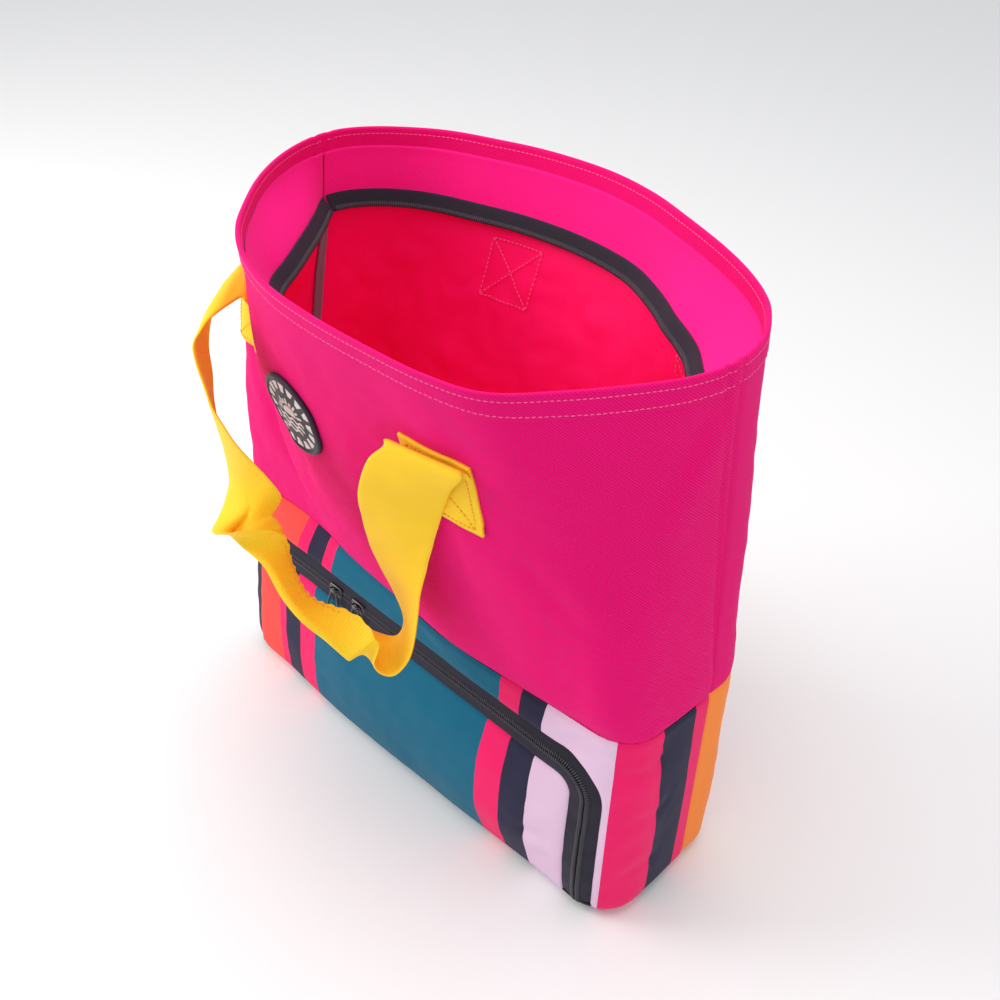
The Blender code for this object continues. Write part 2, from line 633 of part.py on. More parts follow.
# Route of the front handle from its right end to its left end: centre of the
# webbing, the direction across it, and its width (the middle is folded in half
# lengthwise and stitched as a grip).
ROUTE = [
    # x, y, z,           across x, y, z,       width factor
    (0.106, -0.1590, 0.4690, 0.98, 0.18, 0.00, 1.00),
    (0.090, -0.1610, 0.4410, 0.94, 0.33, -0.04, 1.00),
    (0.071, -0.1530, 0.4020, 0.91, 0.41, 0.00, 1.00),
    (0.055, -0.1430, 0.3550, 0.97, 0.16, 0.11, 1.00),
    (0.047, -0.1340, 0.3110, 0.93, -0.12, 0.33, 1.00),
    (0.048, -0.1290, 0.2810, 0.81, -0.33, 0.48, 1.00),
    (0.056, -0.1330, 0.2590, 0.71, -0.45, 0.52, 1.00),
    (0.059, -0.1430, 0.2450, 0.75, -0.51, 0.40, 0.95),
    (0.053, -0.1550, 0.2390, 0.81, -0.55, 0.18, 0.88),
    (0.043, -0.1680, 0.2420, 0.80, -0.59, 0.06, 0.76),
    (0.033, -0.1770, 0.2530, 0.76, -0.64, 0.05, 0.60),
    (0.020, -0.1850, 0.2660, 0.68, -0.71, 0.12, 0.52),
    (0.005, -0.1930, 0.2760, 0.56, -0.76, 0.30, 0.50),
    (-0.012, -0.1960, 0.2880, 0.45, -0.78, 0.42, 0.50),
    (-0.034, -0.1930, 0.3080, 0.28, -0.88, 0.35, 0.52),
    (-0.053, -0.1900, 0.3260, -0.28, -0.88, -0.20, 0.66),
    (-0.067, -0.1870, 0.3410, -0.68, -0.30, -0.62, 0.92),
    (-0.084, -0.1840, 0.3590, -0.73, 0.08, -0.66, 1.00),
    (-0.103, -0.1830, 0.3810, -0.71, 0.32, -0.62, 1.00),
    (-0.120, -0.1810, 0.4010, -0.69, 0.43, -0.57, 1.00),
    (-0.133, -0.1760, 0.4220, -0.66, 0.54, -0.53, 1.00),
    (-0.146, -0.1700, 0.4450, -0.66, 0.60, -0.44, 1.00),
    (-0.151, -0.1590, 0.4630, -0.72, 0.62, -0.28, 1.00),
    (-0.150, -0.1430, 0.4740, -0.74, 0.64, -0.12, 1.00),
    (-0.147, -0.1270, 0.4720, -0.75, 0.66, 0.00, 1.00),
]


def smooth_route(rows, per=2):
    """Catmull-Rom points through the route, with unit across vectors."""
    out = []
    n = len(rows)
    for i in range(n - 1):
        p = [rows[max(i - 1, 0)], rows[i], rows[i + 1], rows[min(i + 2, n - 1)]]
        for k in range(per):
            t = k / per
            vals = []
            for c in range(7):
                a, b, d, e = (q[c] for q in p)
                vals.append(0.5 * (2 * b + (d - a) * t + (2 * a - 5 * b + 4 * d - e) * t * t
                                   + (3 * b - a - 3 * d + e) * t ** 3))
            out.append(vals)
    out.append(list(rows[-1]))
    return [(Vector(v[:3]), Vector(v[3:6]).normalized(), v[6]) for v in out]


def strap(name, pose, mat, parent, first, last):
    """One length of the webbing, between two stations of the route."""
    pts = smooth_route(ROUTE, 1)
    bm = bmesh.new()
    loops = []
    for i in range(first, last + 1):
        c, w, f = pts[i]
        a = pts[max(i - 1, 0)][0]
        b = pts[min(i + 1, len(pts) - 1)][0]
        tan = (b - a).normalized()
        across = (w - tan * w.dot(tan)).normalized()
        nrm = tan.cross(across).normalized()
        half = WEB / 2 * f
        t = WEB_T / 2 * (1.0 if f > 0.8 else 1.9)
        c = c + tan * (GAP / 2 if i == first else -GAP / 2 if i == last else 0.0)
        ring = [c + across * half + nrm * t, c - across * half + nrm * t,
                c - across * half - nrm * t, c + across * half - nrm * t]
        loops.append([bm.verts.new(pose @ q) for q in ring])
    for a, b in zip(loops, loops[1:]):
        for k in range(4):
            bm.faces.new([a[k], a[(k + 1) % 4], b[(k + 1) % 4], b[k]])
    bm.faces.new(loops[0][::-1])
    bm.faces.new(loops[-1])
    bmesh.ops.recalc_face_normals(bm, faces=bm.faces)
    bmesh.ops.triangulate(bm, faces=bm.faces)   # the webbing is twisted
    return new_object(name, bm, mat, parent=parent)


def anchor(name, side, s0, mat):
    rows = []
    for j in range(4):
        z = ANCHOR_Z[0] + (ANCHOR_Z[1] - ANCHOR_Z[0]) * j / 3
        rows.append([skin_s(side, s0 + (k / 4 - 0.5) * WEB, z, WEB_T + 0.0014)
                     for k in range(5)])
    return cloth(name, rows, WEB_T, mat, flip=(side > 0))


for nm, side in (("front", -1), ("back", 1)):
    for k, end_nm in enumerate(("left", "right")):
        anchor("handle_%s_anchor_%s" % (nm, end_nm), side, ANCHOR_S[nm][k], web_m)

# The back handle is the same piece turned half a turn about the vertical.
turn = {"front": Matrix.Identity(4),
        "back": Matrix.Rotation(math.pi, 4, "Z")}
PIVOT = {"front": (0.0, -0.1680, 0.4880), "back": (0.0, 0.1680, 0.4880)}
# Each handle is made of three lengths of the same webbing, by route station.
RUNS = [("strap_%s", 0, 9), ("grip", 9, 15), ("strap_%s", 15, 24)]
ENDS = {"front": ("right", "left"), "back": ("left", "right")}
for nm in ("front", "back"):
    pivot = bpy.data.objects.new("handle_%s_pivot" % nm, None)
    bpy.context.scene.collection.objects.link(pivot)
    pivot.location = PIVOT[nm]
    bpy.context.view_layer.update()
    for run, first, last in RUNS:
        end = ENDS[nm][0 if last < 12 else 1]
        run = run % end if "%s" in run else run
        strap("handle_%s_%s" % (nm, run), turn[nm], web_m, pivot, first, last)
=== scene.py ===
"""Looks of the two-compartment beach bag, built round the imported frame.

Cloth walls are sheets laid on one pair of cross sections (base and rim) with
folds added along their normals; every trim follows the same surface.
"""
import math

import bmesh
import bpy
import numpy as np
from mathutils import Matrix, Vector


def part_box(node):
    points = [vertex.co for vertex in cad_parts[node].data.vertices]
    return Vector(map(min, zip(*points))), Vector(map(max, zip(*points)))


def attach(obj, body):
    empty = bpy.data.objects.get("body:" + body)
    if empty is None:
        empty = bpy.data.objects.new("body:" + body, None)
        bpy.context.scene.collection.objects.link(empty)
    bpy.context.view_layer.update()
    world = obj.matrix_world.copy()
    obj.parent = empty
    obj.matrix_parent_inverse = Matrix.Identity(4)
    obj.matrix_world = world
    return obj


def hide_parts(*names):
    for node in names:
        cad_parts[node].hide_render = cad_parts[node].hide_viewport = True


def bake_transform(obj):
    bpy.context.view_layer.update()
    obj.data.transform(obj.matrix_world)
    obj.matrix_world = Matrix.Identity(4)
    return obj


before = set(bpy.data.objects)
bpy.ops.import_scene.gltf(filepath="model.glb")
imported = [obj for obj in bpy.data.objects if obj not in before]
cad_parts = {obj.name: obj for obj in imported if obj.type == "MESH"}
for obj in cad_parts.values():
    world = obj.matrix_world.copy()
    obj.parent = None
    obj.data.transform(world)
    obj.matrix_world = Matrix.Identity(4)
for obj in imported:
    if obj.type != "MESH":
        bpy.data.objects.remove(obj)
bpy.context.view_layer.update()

MM = 0.001

# ---------------------------------------------------------------- sizes
X_LEFT, X_RIGHT, HALF_D, CORNER_R = -0.2585, 0.2475, 0.0790, 0.038
Z_WAIST, Z_RIM = 0.2128, 0.5400
BASE_SEAM_Y = (0.004, 0.026)
RIM_FRONT = [(-0.2380, 0.0330), (-0.2335, 0.0030), (-0.2200, -0.0310), (-0.1980, -0.0660),
             (-0.1670, -0.1020), (-0.1370, -0.1310), (-0.1000, -0.1540), (-0.0500, -0.1710),
             (0.0050, -0.1760), (0.0600, -0.1750), (0.1150, -0.1700), (0.1570, -0.1560),
             (0.1890, -0.1180), (0.2170, -0.0740), (0.2340, -0.0400), (0.2410, -0.0040)]
RIM_BACK = [(-0.2380, 0.0330), (-0.2320, 0.0600), (-0.2110, 0.0890), (-0.1740, 0.1200),
            (-0.1300, 0.1400), (-0.0800, 0.1570), (-0.0200, 0.1650), (0.0330, 0.1590),
            (0.0800, 0.1440), (0.1300, 0.1250), (0.1680, 0.1060), (0.1980, 0.0850),
            (0.2170, 0.0640), (0.2340, 0.0340), (0.2410, -0.0040)]
ZIP_Z, ZIP_LEFT, ZIP_RIGHT, ZIP_R, ZIP_HALF = 0.1700, -0.2460, 0.2140, 0.032, 0.0145
HINGE_Z = 0.0085
WEB = 0.065
ANCHOR_S = {"front": (-0.147, 0.110), "back": (-0.110, 0.147)}
ANCHOR_Z = (0.399, 0.463)
BADGE_S, BADGE_Z, BADGE_R = -0.0740, 0.3970, 0.0370
SLIDER_X = {"left": -0.0980, "right": -0.0665}


# ---------------------------------------------------------------- curves
def resample(points, n):
    p = np.asarray(points, float)
    d = np.r_[0.0, np.cumsum(np.hypot(*np.diff(p, axis=0).T))]
    t = np.linspace(0, d[-1], n + 1)
    return np.stack([np.interp(t, d, p[:, 0]), np.interp(t, d, p[:, 1])], 1), d[-1]


def base_half(side):
    b, r, pts = HALF_D, CORNER_R, [(X_LEFT, BASE_SEAM_Y[0])]
    for k in range(25):
        t = math.pi / 2 * k / 24
        pts.append((X_LEFT + r - r * math.cos(t), side * (b - r + r * math.sin(t))))
    for k in range(25):
        t = math.pi / 2 * (1 - k / 24)
        pts.append((X_RIGHT - r + r * math.cos(t), side * (b - r + r * math.sin(t))))
    return pts + [(X_RIGHT, BASE_SEAM_Y[1])]


def catmull(rows, per, ring=None):
    """Catmull-Rom points through rows of numbers."""
    rows = [np.asarray(r, float) for r in rows]
    full = ring if ring is not None else [rows[0]] + rows + [rows[-1]]
    full = [np.asarray(r, float) for r in full]
    out = []
    for i in range(len(rows) - 1):
        a, b, c, d = full[i:i + 4]
        for k in range(per):
            t = k / per
            out.append(0.5 * (2 * b + (c - a) * t + (2 * a - 5 * b + 4 * c - d) * t * t
                              + (3 * b - a - 3 * c + d) * t ** 3))
    out.append(rows[-1])
    return np.array(out)


def rim_half(side):
    rows, other = (RIM_FRONT, RIM_BACK) if side < 0 else (RIM_BACK, RIM_FRONT)
    return catmull(rows, 24, ring=[other[1]] + rows + [other[-2]])


FINE = 1600
CURVE = {}
for _sd in (-1, 1):
    CURVE[_sd] = (resample(base_half(_sd), FINE), resample(rim_half(_sd), FINE))
REACH = {sd: (HALF_D - CORNER_R + (BASE_SEAM_Y[0] if sd < 0 else -BASE_SEAM_Y[0])
              + math.pi / 2 * CORNER_R + (-X_LEFT - CORNER_R)) for sd in (-1, 1)}
U_MID = {sd: REACH[sd] / CURVE[sd][0][1] for sd in (-1, 1)}


def smooth(x):
    x = np.clip(x, 0, 1)
    return x * x * (3 - 2 * x)


def length(side, z):
    (_, lb), (_, lr) = CURVE[side]
    w = np.clip((np.asarray(z, float) - Z_WAIST) / (Z_RIM - Z_WAIST), 0, 1)
    return lb + (lr - lb) * w


def section(side, u, z):
    (cb, _), (cr, _) = CURVE[side]
    w = np.clip((z - Z_WAIST) / (Z_RIM - Z_WAIST), 0, 1.03)[..., None]
    x = np.clip(u, 0, 1) * FINE
    i = np.clip(x.astype(int), 0, FINE - 1)
    f = (x - i)[..., None]
    return (cb[i] * (1 - f) + cb[i + 1] * f) * (1 - w) + (cr[i] * (1 - f) + cr[i + 1] * f) * w


def hermite(xk, yk, x):
    """Smooth curve through (xk, yk); yk may hold one row per x on its last axis."""
    xk = np.asarray(xk, float)
    x = np.clip(x, xk[0], xk[-1])
    m = np.gradient(yk, xk, axis=0)
    i = np.clip(np.searchsorted(xk, x, side="right") - 1, 0, len(xk) - 2)
    h = xk[i + 1] - xk[i]
    t = (x - xk[i]) / h
    if yk.ndim == 1:
        y0, y1, m0, m1 = yk[i], yk[i + 1], m[i], m[i + 1]
    else:
        cols = np.arange(len(x))
        y0, y1, m0, m1 = yk[i, cols], yk[i + 1, cols], m[i, cols], m[i + 1, cols]
    t2, t3 = t * t, t ** 3
    return ((2 * t3 - 3 * t2 + 1) * y0 + (t3 - 2 * t2 + t) * h * m0
            + (-2 * t3 + 3 * t2) * y1 + (t3 - t2) * h * m1)


def table(sk, zk, rows, s, z):
    s, z = np.broadcast_arrays(np.asarray(s, float), np.asarray(z, float))
    shape = s.shape
    s, z = s.ravel(), z.ravel()
    at_s = np.array([hermite(sk, np.asarray(r, float), s) for r in rows])
    return hermite(zk, at_s, z).reshape(shape)


def ripple(s, z, seed, n=14, low=0.05, high=0.16):
    """Soft random undulation, about -1 to 1, with wavelengths low to high metres."""
    rng = np.random.default_rng(seed)
    out = np.zeros(np.broadcast(s, z).shape)
    for _ in range(n):
        lam = low * (high / low) ** rng.random()
        a, ph = rng.random() * math.pi, rng.random() * 2 * math.pi
        out = out + np.sin(2 * math.pi * (s * math.cos(a) + z * math.sin(a)) / lam + ph)
    return out / math.sqrt(n / 2) / 1.6


def crease(s, z, pts, amp, width, ridge=0.55, taper=0.25):
    """A valley along a polyline in (s, z) with a ridge on its right-hand side."""
    pts = np.asarray(pts, float)
    best = np.full(np.broadcast(s, z).shape, 1e9)
    sgn = np.ones_like(best)
    along = np.zeros_like(best)
    seg = np.hypot(*np.diff(pts, axis=0).T)
    total, acc = seg.sum(), 0.0
    for (a, b), ln in zip(zip(pts, pts[1:]), seg):
        d = b - a
        t = np.clip(((s - a[0]) * d[0] + (z - a[1]) * d[1]) / (ln * ln), 0, 1)
        dx, dz = s - a[0] - t * d[0], z - a[1] - t * d[1]
        dist = np.hypot(dx, dz)
        near = dist < best
        best = np.where(near, dist, best)
        sgn = np.where(near, np.sign(d[0] * dz - d[1] * dx), sgn)
        along = np.where(near, (acc + t * ln) / total, along)
        acc += ln
    d = best * sgn
    fade = smooth(along / taper) * smooth((1 - along) / taper)
    return amp * fade * (-np.exp(-(d / width) ** 2)
                         + ridge * np.exp(-((d - 1.9 * width) / (1.2 * width)) ** 2))


# ------------------------------------------------- folds of the cloth, in mm
S_C = [-0.325, -0.26, -0.22, -0.18, -0.14, -0.10, -0.05, 0.0, 0.05, 0.10, 0.14, 0.18,
       0.215, 0.25, 0.30, 0.336]
Z_C = [0.0, 0.02, 0.05, 0.09, 0.125, 0.148, 0.17, 0.182, 0.2128]
FRONT_C = [
    [0, 1, 3, 4, 6, 8, 8, 6, 5, 4, 2, 1, 1, 1, 0, 0],
    [0, 2, 7, 9, 12, 14, 14, 13, 12, 10, 8, 5, 3, 3, 2, 0],
    [0, 1, 7, 11, 14, 18, 19, 19, 19, 19, 16, 10, 6, 4, 3, 0],
    [0, 0, 5, 8, 12, 17, 20, 21, 21, 21, 18, 12, 6, 5, 3, 0],
    [0, -1, 2, 5.5, 9, 12, 14, 16, 17, 17, 15, 10, 4, 3, 2, 0],
    [0, -2, 0, 7.2, 8, 9, 9, 9, 9, 9, 9, 8, 3, 2, 1, 0],
    [0, -3, -1, 4.5, 4.8, 5, 5, 5, 5, 5, 5, 4.6, 1.5, 1, 1, 0],
    [0, -3, -4, 3.5, 4, 4.5, 5, 5, 5, 5, 4.5, 3, 0, 0, 0, 0],
    [0, -4, -9, -12, -10, -4, 1, 4, 8, 6, 2, -2, -5, -2, 0, 0],
]
S_T = [-0.33, -0.27, -0.235, -0.205, -0.17, -0.13, -0.09, -0.05, 0.0, 0.06, 0.12, 0.17,
       0.21, 0.25, 0.29, 0.34]
Z_T = [0.2128, 0.228, 0.27, 0.32, 0.37, 0.42, 0.47, 0.51, 0.54]
FRONT_T = [
    [0, -4, -8, -11, -12, -9, -3, 1, 4, 8, 4, -1, -5, -2, 0, 0],
    [2, -1, -4, -7, -8, -6, 0, 4, 7, 11, 7, 3, -1, 1, 2, 2],
    [2, 4, 3, -1, -3, -1, 4, 7, 8, 9, 7, 4, 1, 2, 2, 1],
    [1, 6, 8, 6, 1, 3, 6, 7, 7, 6, 5, 3, 1, 1, 1, 0],
    [0, 7, 11, 11, 1, 7, 7, 5, 4, 3, 2, 1, 0, 0, 0, 0],
    [0, 5, 10, 12, -3, 9, 7, 3, 1, 0, -1, -1, 0, 0, 0, 0],
    [0, 2, 5, 7, -1, 6, 4, 1, 0, -2, -2, -1, 0, 0, 0, 0],
    [0, 0, 0, 2, 1, 2, 1, 0, 0, -1, -1, 0, 0, 0, 0, 0],
    [0, 0, 0, 0, 0, 0, 0, 0, 0, 0, 0, 0, 0, 0, 0, 0],
]
ROUND = 0.015


def disp(side, s, z):
    """Outward displacement of the cloth from the plain skin, in metres."""
    s, z = np.broadcast_arrays(np.asarray(s, float), np.asarray(z, float))
    half_l, half_r = -REACH[side], CURVE[side][0][1] - REACH[side]
    edge = smooth(np.minimum(s - half_l, half_r - s) / 0.05)
    low = z <= Z_WAIST
    if side < 0:
        d_low = table(S_C, Z_C, FRONT_C, s, z) * MM
        d_up = table(S_T, Z_T, FRONT_T, s, z) * MM
    else:
        bow = np.clip(1 - (s / 0.27) ** 2, 0, 1)
        d_low = bow * 13 * MM * hermite(
            Z_C, np.array([0.3, 0.65, 0.9, 1, 0.95, 0.8, 0.7, 0.6, 0.3]), z.ravel()).reshape(z.shape)
        d_up = bow * MM * hermite(
            Z_T, np.array([4.0, 6, 7, 6, 4, 2, 1, 0, 0]), z.ravel()).reshape(z.shape)
    up = 1 - smooth((z - 0.47) / 0.06)
    wr = ripple(s + (3.0 if side > 0 else 0.0), z, 5) * 1.3 * MM
    wr_fine = ripple(s + (1.7 if side > 0 else 0.0), z, 9, n=18, low=0.018, high=0.05) * 0.28 * MM
    d_up = d_up + (wr + wr_fine) * edge * up * smooth((z - Z_WAIST) / 0.02)
    # the zip's straight run is held even by its tape, so the cloth hardly ripples there
    calm = 1.0
    if side < 0:
        calm = 1 - 0.85 * smooth((0.034 - np.abs(z - 0.166)) / 0.014) * smooth((0.215 - np.abs(s + 0.015)) / 0.03)
    d_low = d_low + calm * (wr * 0.7 + wr_fine * 1.3) * edge * smooth(z / 0.03) * smooth((Z_WAIST - z) / 0.02)
    if side < 0:
        d_up = d_up + crease(s, z, [(-0.186, 0.480), (-0.182, 0.450), (-0.172, 0.420), (-0.157, 0.400),
                                    (-0.147, 0.384), (-0.132, 0.360)], 7.0 * MM, 0.0085, ridge=0.6, taper=0.2)
        d_up = d_up + crease(s, z, [(-0.200, 0.372), (-0.172, 0.335), (-0.160, 0.298), (-0.132, 0.262),
                                    (-0.100, 0.236)], 4.0 * MM, 0.012, ridge=0.55, taper=0.3)
        d_up = d_up + crease(s, z, [(0.335, 0.525), (0.300, 0.47), (0.255, 0.41)], 2.6 * MM, 0.012)
        d_up = d_up + crease(s, z, [(0.285, 0.50), (0.235, 0.43), (0.215, 0.36)], 1.6 * MM, 0.014)
        d_up = d_up + crease(s, z, [(0.155, 0.398), (0.200, 0.345), (0.235, 0.315)], 1.3 * MM, 0.012)
        d_up = d_up + crease(s, z, [(0.070, 0.398), (0.030, 0.345), (0.005, 0.315)], 1.2 * MM, 0.012)
        d_up = d_up + crease(s, z, [(-0.110, 0.400), (-0.095, 0.33), (-0.10, 0.28)], 1.1 * MM, 0.011)
        d_low = d_low + crease(s, z, [(0.178, 0.188), (0.205, 0.200), (0.235, 0.192)], 2.2 * MM, 0.006)
        d_low = d_low + crease(s, z, [(0.235, 0.182), (0.262, 0.176), (0.285, 0.186)], 1.8 * MM, 0.006)
        d_low = d_low + crease(s, z, [(0.250, 0.128), (0.275, 0.118), (0.300, 0.126)], 1.4 * MM, 0.007)
        d_low = d_low + crease(s, z, [(0.242, 0.052), (0.262, 0.060), (0.290, 0.054)], 1.2 * MM, 0.007)
        d_low = d_low + crease(s, z, [(0.190, 0.062), (0.168, 0.070), (0.150, 0.066)], 1.4 * MM, 0.006)
        d_low = d_low + crease(s, z, [(0.188, 0.104), (0.172, 0.112), (0.155, 0.106)], 1.0 * MM, 0.006)
        d_low = d_low + crease(s, z, [(-0.02, 0.190), (0.02, 0.197), (0.06, 0.192)], 1.5 * MM, 0.007)
    # the seams: waist groove, side-seam groove, soft lower edge
    g_low = -1.6 * MM * np.exp(-((Z_WAIST - z) / 0.0030) ** 2)
    g_up = -1.2 * MM * np.exp(-((z - Z_WAIST) / 0.0024) ** 2)
    seam = -1.5 * MM * np.exp(-(np.minimum(np.abs(s - half_l), np.abs(half_r - s)) / 0.0022) ** 2)
    zz = np.clip(z, 0, ROUND)
    lower = -(ROUND - np.sqrt(np.clip(ROUND ** 2 - (ROUND - zz) ** 2, 0, None)))
    return np.where(low, d_low + g_low + lower, d_up + g_up) + seam


def P(side, s, z, off=0.0):
    """Points of the visible cloth at arc distance s and height z, off outwards."""
    s, z, off = np.broadcast_arrays(np.asarray(s, float), np.asarray(z, float), np.asarray(off, float))
    u = U_MID[side] + s / length(side, z)
    a, b = section(side, u - 0.006, z), section(side, u + 0.006, z)
    t = b - a
    n = np.stack([t[..., 1], -t[..., 0]], -1) * (1 if side < 0 else -1)
    n /= np.linalg.norm(n, axis=-1, keepdims=True)
    xy = section(side, u, z) + n * (disp(side, s, z) + off)[..., None]
    return np.concatenate([xy, z[..., None]], -1)


def P0(side, s, z, off=0.0):
    """As P, on the plain skin without the folds."""
    s, z, off = np.broadcast_arrays(np.asarray(s, float), np.asarray(z, float), np.asarray(off, float))
    u = U_MID[side] + s / length(side, z)
    a, b = section(side, u - 0.006, z), section(side, u + 0.006, z)
    t = b - a
    n = np.stack([t[..., 1], -t[..., 0]], -1) * (1 if side < 0 else -1)
    n /= np.linalg.norm(n, axis=-1, keepdims=True)
    return np.concatenate([section(side, u, z) + n * off[..., None], z[..., None]], -1)


def seam_s(side, z, right):
    """s of the side seam at height z."""
    return (1.0 if right else 0.0) * length(side, z) - U_MID[side] * length(side, z)


# ---------------------------------------------------------------- meshes
def link(name, me, mats, body=None, replaces=(), shade=40.0):
    ob = bpy.data.objects.new(name, me)
    bpy.context.scene.collection.objects.link(ob)
    for m in (mats if isinstance(mats, (list, tuple)) else [mats]):
        me.materials.append(m)
    me.shade_smooth()
    if shade < 179:
        me.set_sharp_from_angle(angle=math.radians(shade))
    if replaces:
        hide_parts(*replaces)
    if body:
        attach(ob, body)
    return ob


def mesh_from(name, verts, faces, uvs=None, mat_index=None):
    me = bpy.data.meshes.new(name)
    me.from_pydata([tuple(v) for v in np.asarray(verts, float)], [], [tuple(int(i) for i in f) for f in faces])
    if uvs is not None:
        lay = me.uv_layers.new(name="UVMap")
        idx = np.zeros(len(me.loops), np.int32)
        me.loops.foreach_get("vertex_index", idx)
        lay.data.foreach_set("uv", np.asarray(uvs, np.float32)[idx].ravel())
    if mat_index is not None:
        me.polygons.foreach_set("material_index", np.asarray(mat_index, np.int32))
    me.validate()
    me.update()
    return me


def grid_mesh(name, pts, uvs, flip=False, close=False):
    """pts and uvs: rows x columns."""
    pts = np.asarray(pts, float)
    r, c = pts.shape[:2]
    faces = []
    for j in range(r - 1):
        for i in range(c if close else c - 1):
            k = (i + 1) % c
            q = (j * c + i, j * c + k, (j + 1) * c + k, (j + 1) * c + i)
            faces.append(q[::-1] if flip else q)
    return mesh_from(name, pts.reshape(-1, 3), faces, np.asarray(uvs, float).reshape(-1, 2))


def freeze(ob, *mods):
    """Adds modifiers given as (type, settings) and applies them all."""
    for kind, kw in mods:
        m = ob.modifiers.new(kind.lower(), kind)
        for k, v in kw.items():
            setattr(m, k, v)
    dg = bpy.context.evaluated_depsgraph_get()
    dg.update()
    ev = ob.evaluated_get(dg)
    me = bpy.data.meshes.new_from_object(ev, preserve_all_data_layers=True, depsgraph=dg)
    old = ob.data
    ob.modifiers.clear()
    ob.data = me
    me.name = old.name
    bpy.data.meshes.remove(old)
    return ob


def thick(t, offset=-1.0):
    return ("SOLIDIFY", {"thickness": t, "offset": offset, "use_even_offset": False, "use_rim": True})


# ---------------------------------------------------------------- materials
class Mat:
    def __init__(self, name):
        self.m = bpy.data.materials.new(name)
        self.m.use_nodes = True
        self.t = self.m.node_tree
        self.b = self.t.nodes["Principled BSDF"]
        uv = self.t.nodes.new("ShaderNodeUVMap")
        uv.uv_map = "UVMap"
        self.uv = uv.outputs["UV"]
        sep = self.t.nodes.new("ShaderNodeSeparateXYZ")
        self.t.links.new(self.uv, sep.inputs[0])
        self.u, self.v = sep.outputs["X"], sep.outputs["Y"]
        geo = self.t.nodes.new("ShaderNodeTexCoord")
        self.obj = geo.outputs["Object"]

    def put(self, sock, val):
        if isinstance(val, bpy.types.NodeSocket):
            self.t.links.new(val, sock)
        else:
            sock.default_value = val

    def math(self, op, a, b=0.0, c=0.0):
        n = self.t.nodes.new("ShaderNodeMath")
        n.operation = op
        for i, v in enumerate((a, b, c)):
            self.put(n.inputs[i], v)
        return n.outputs[0]

    def sin(self, x, pitch, phase=0.0):
        return self.math("SINE", self.math("MULTIPLY_ADD", x, 2 * math.pi / pitch, phase))

    def noise(self, vec, scale, detail=3.0, rough=0.55):
        n = self.t.nodes.new("ShaderNodeTexNoise")
        n.inputs["Scale"].default_value = scale
        n.inputs["Detail"].default_value = detail
        n.inputs["Roughness"].default_value = rough
        self.put(n.inputs["Vector"], vec)
        return n.outputs["Fac"]

    def mix(self, f, a, b):
        n = self.t.nodes.new("ShaderNodeMix")
        n.data_type = "RGBA"
        self.put(n.inputs[0], f)
        self.put(n.inputs[6], a)
        self.put(n.inputs[7], b)
        return n.outputs[2]

    def ramp(self, f, stops, mode="CONSTANT"):
        n = self.t.nodes.new("ShaderNodeValToRGB")
        n.color_ramp.interpolation = mode
        el = n.color_ramp.elements
        while len(el) > 1:
            el.remove(el[-1])
        el[0].position, el[0].color = stops[0][0], (*stops[0][1], 1)
        for p, c in stops[1:]:
            e = el.new(p)
            e.color = (*c, 1)
        self.put(n.inputs[0], f)
        return n.outputs["Color"]

    def shade(self, colour, fac, lo=0.85, hi=1.1):
        """colour scaled between lo and hi by fac."""
        n = self.t.nodes.new("ShaderNodeMapRange")
        self.put(n.inputs["Value"], fac)
        n.inputs["To Min"].default_value = lo
        n.inputs["To Max"].default_value = hi
        v = self.t.nodes.new("ShaderNodeVectorMath")
        v.operation = "SCALE"
        self.put(v.inputs[0], colour)
        self.put(v.inputs["Scale"], n.outputs[0])
        return v.outputs[0]

    def bump(self, h, strength, dist, under=None):
        n = self.t.nodes.new("ShaderNodeBump")
        n.inputs["Strength"].default_value = strength
        n.inputs["Distance"].default_value = dist
        self.put(n.inputs["Height"], h)
        if under is not None:
            self.put(n.inputs["Normal"], under)
        return n.outputs[0]

    def rgb(self, c):
        n = self.t.nodes.new("ShaderNodeRGB")
        n.outputs[0].default_value = (*c, 1)
        return n.outputs[0]


def fabric(name, colour, rough=0.82, pitch=0.0013, depth=0.35, sheen=0.25, tint=(1, 1, 1),
           vary=(0.93, 1.05), weave_vary=0.10, colour_fn=None, twill=False, spec=0.25):
    k = Mat(name)
    wu, wv = k.sin(k.u, pitch), k.sin(k.v, pitch)
    weave = k.math("MULTIPLY", wu, wv)
    if twill:
        weave = k.math("MULTIPLY_ADD", k.sin(k.math("ADD", k.u, k.v), pitch * 1.5), 0.6,
                       k.math("MULTIPLY", weave, 0.5))
    fibre = k.noise(k.uv, 1400, 2.0)
    cloud = k.noise(k.uv, 9, 3.0)
    base = colour_fn(k) if colour_fn else k.rgb(colour)
    base = k.shade(base, cloud, *vary)
    half = k.math("MULTIPLY_ADD", weave, 0.5, 0.5)
    base = k.shade(base, half, 1 - weave_vary, 1 + weave_vary * 0.5)
    base = k.shade(base, fibre, 0.94, 1.06)
    k.put(k.b.inputs["Base Color"], base)
    r = k.t.nodes.new("ShaderNodeMapRange")
    k.put(r.inputs["Value"], fibre)
    r.inputs["To Min"].default_value = rough - 0.06
    r.inputs["To Max"].default_value = min(1.0, rough + 0.06)
    k.put(k.b.inputs["Roughness"], r.outputs[0])
    soft = k.bump(k.noise(k.uv, 60, 3.0), 0.12, 0.0015)
    k.put(k.b.inputs["Normal"], k.bump(k.math("MULTIPLY_ADD", fibre, 0.5, weave), depth, 0.0003, soft))
    k.b.inputs["Sheen Weight"].default_value = sheen
    k.b.inputs["Sheen Roughness"].default_value = 0.45
    k.b.inputs["Sheen Tint"].default_value = (*tint, 1)
    k.b.inputs["Specular IOR Level"].default_value = spec
    return k.m


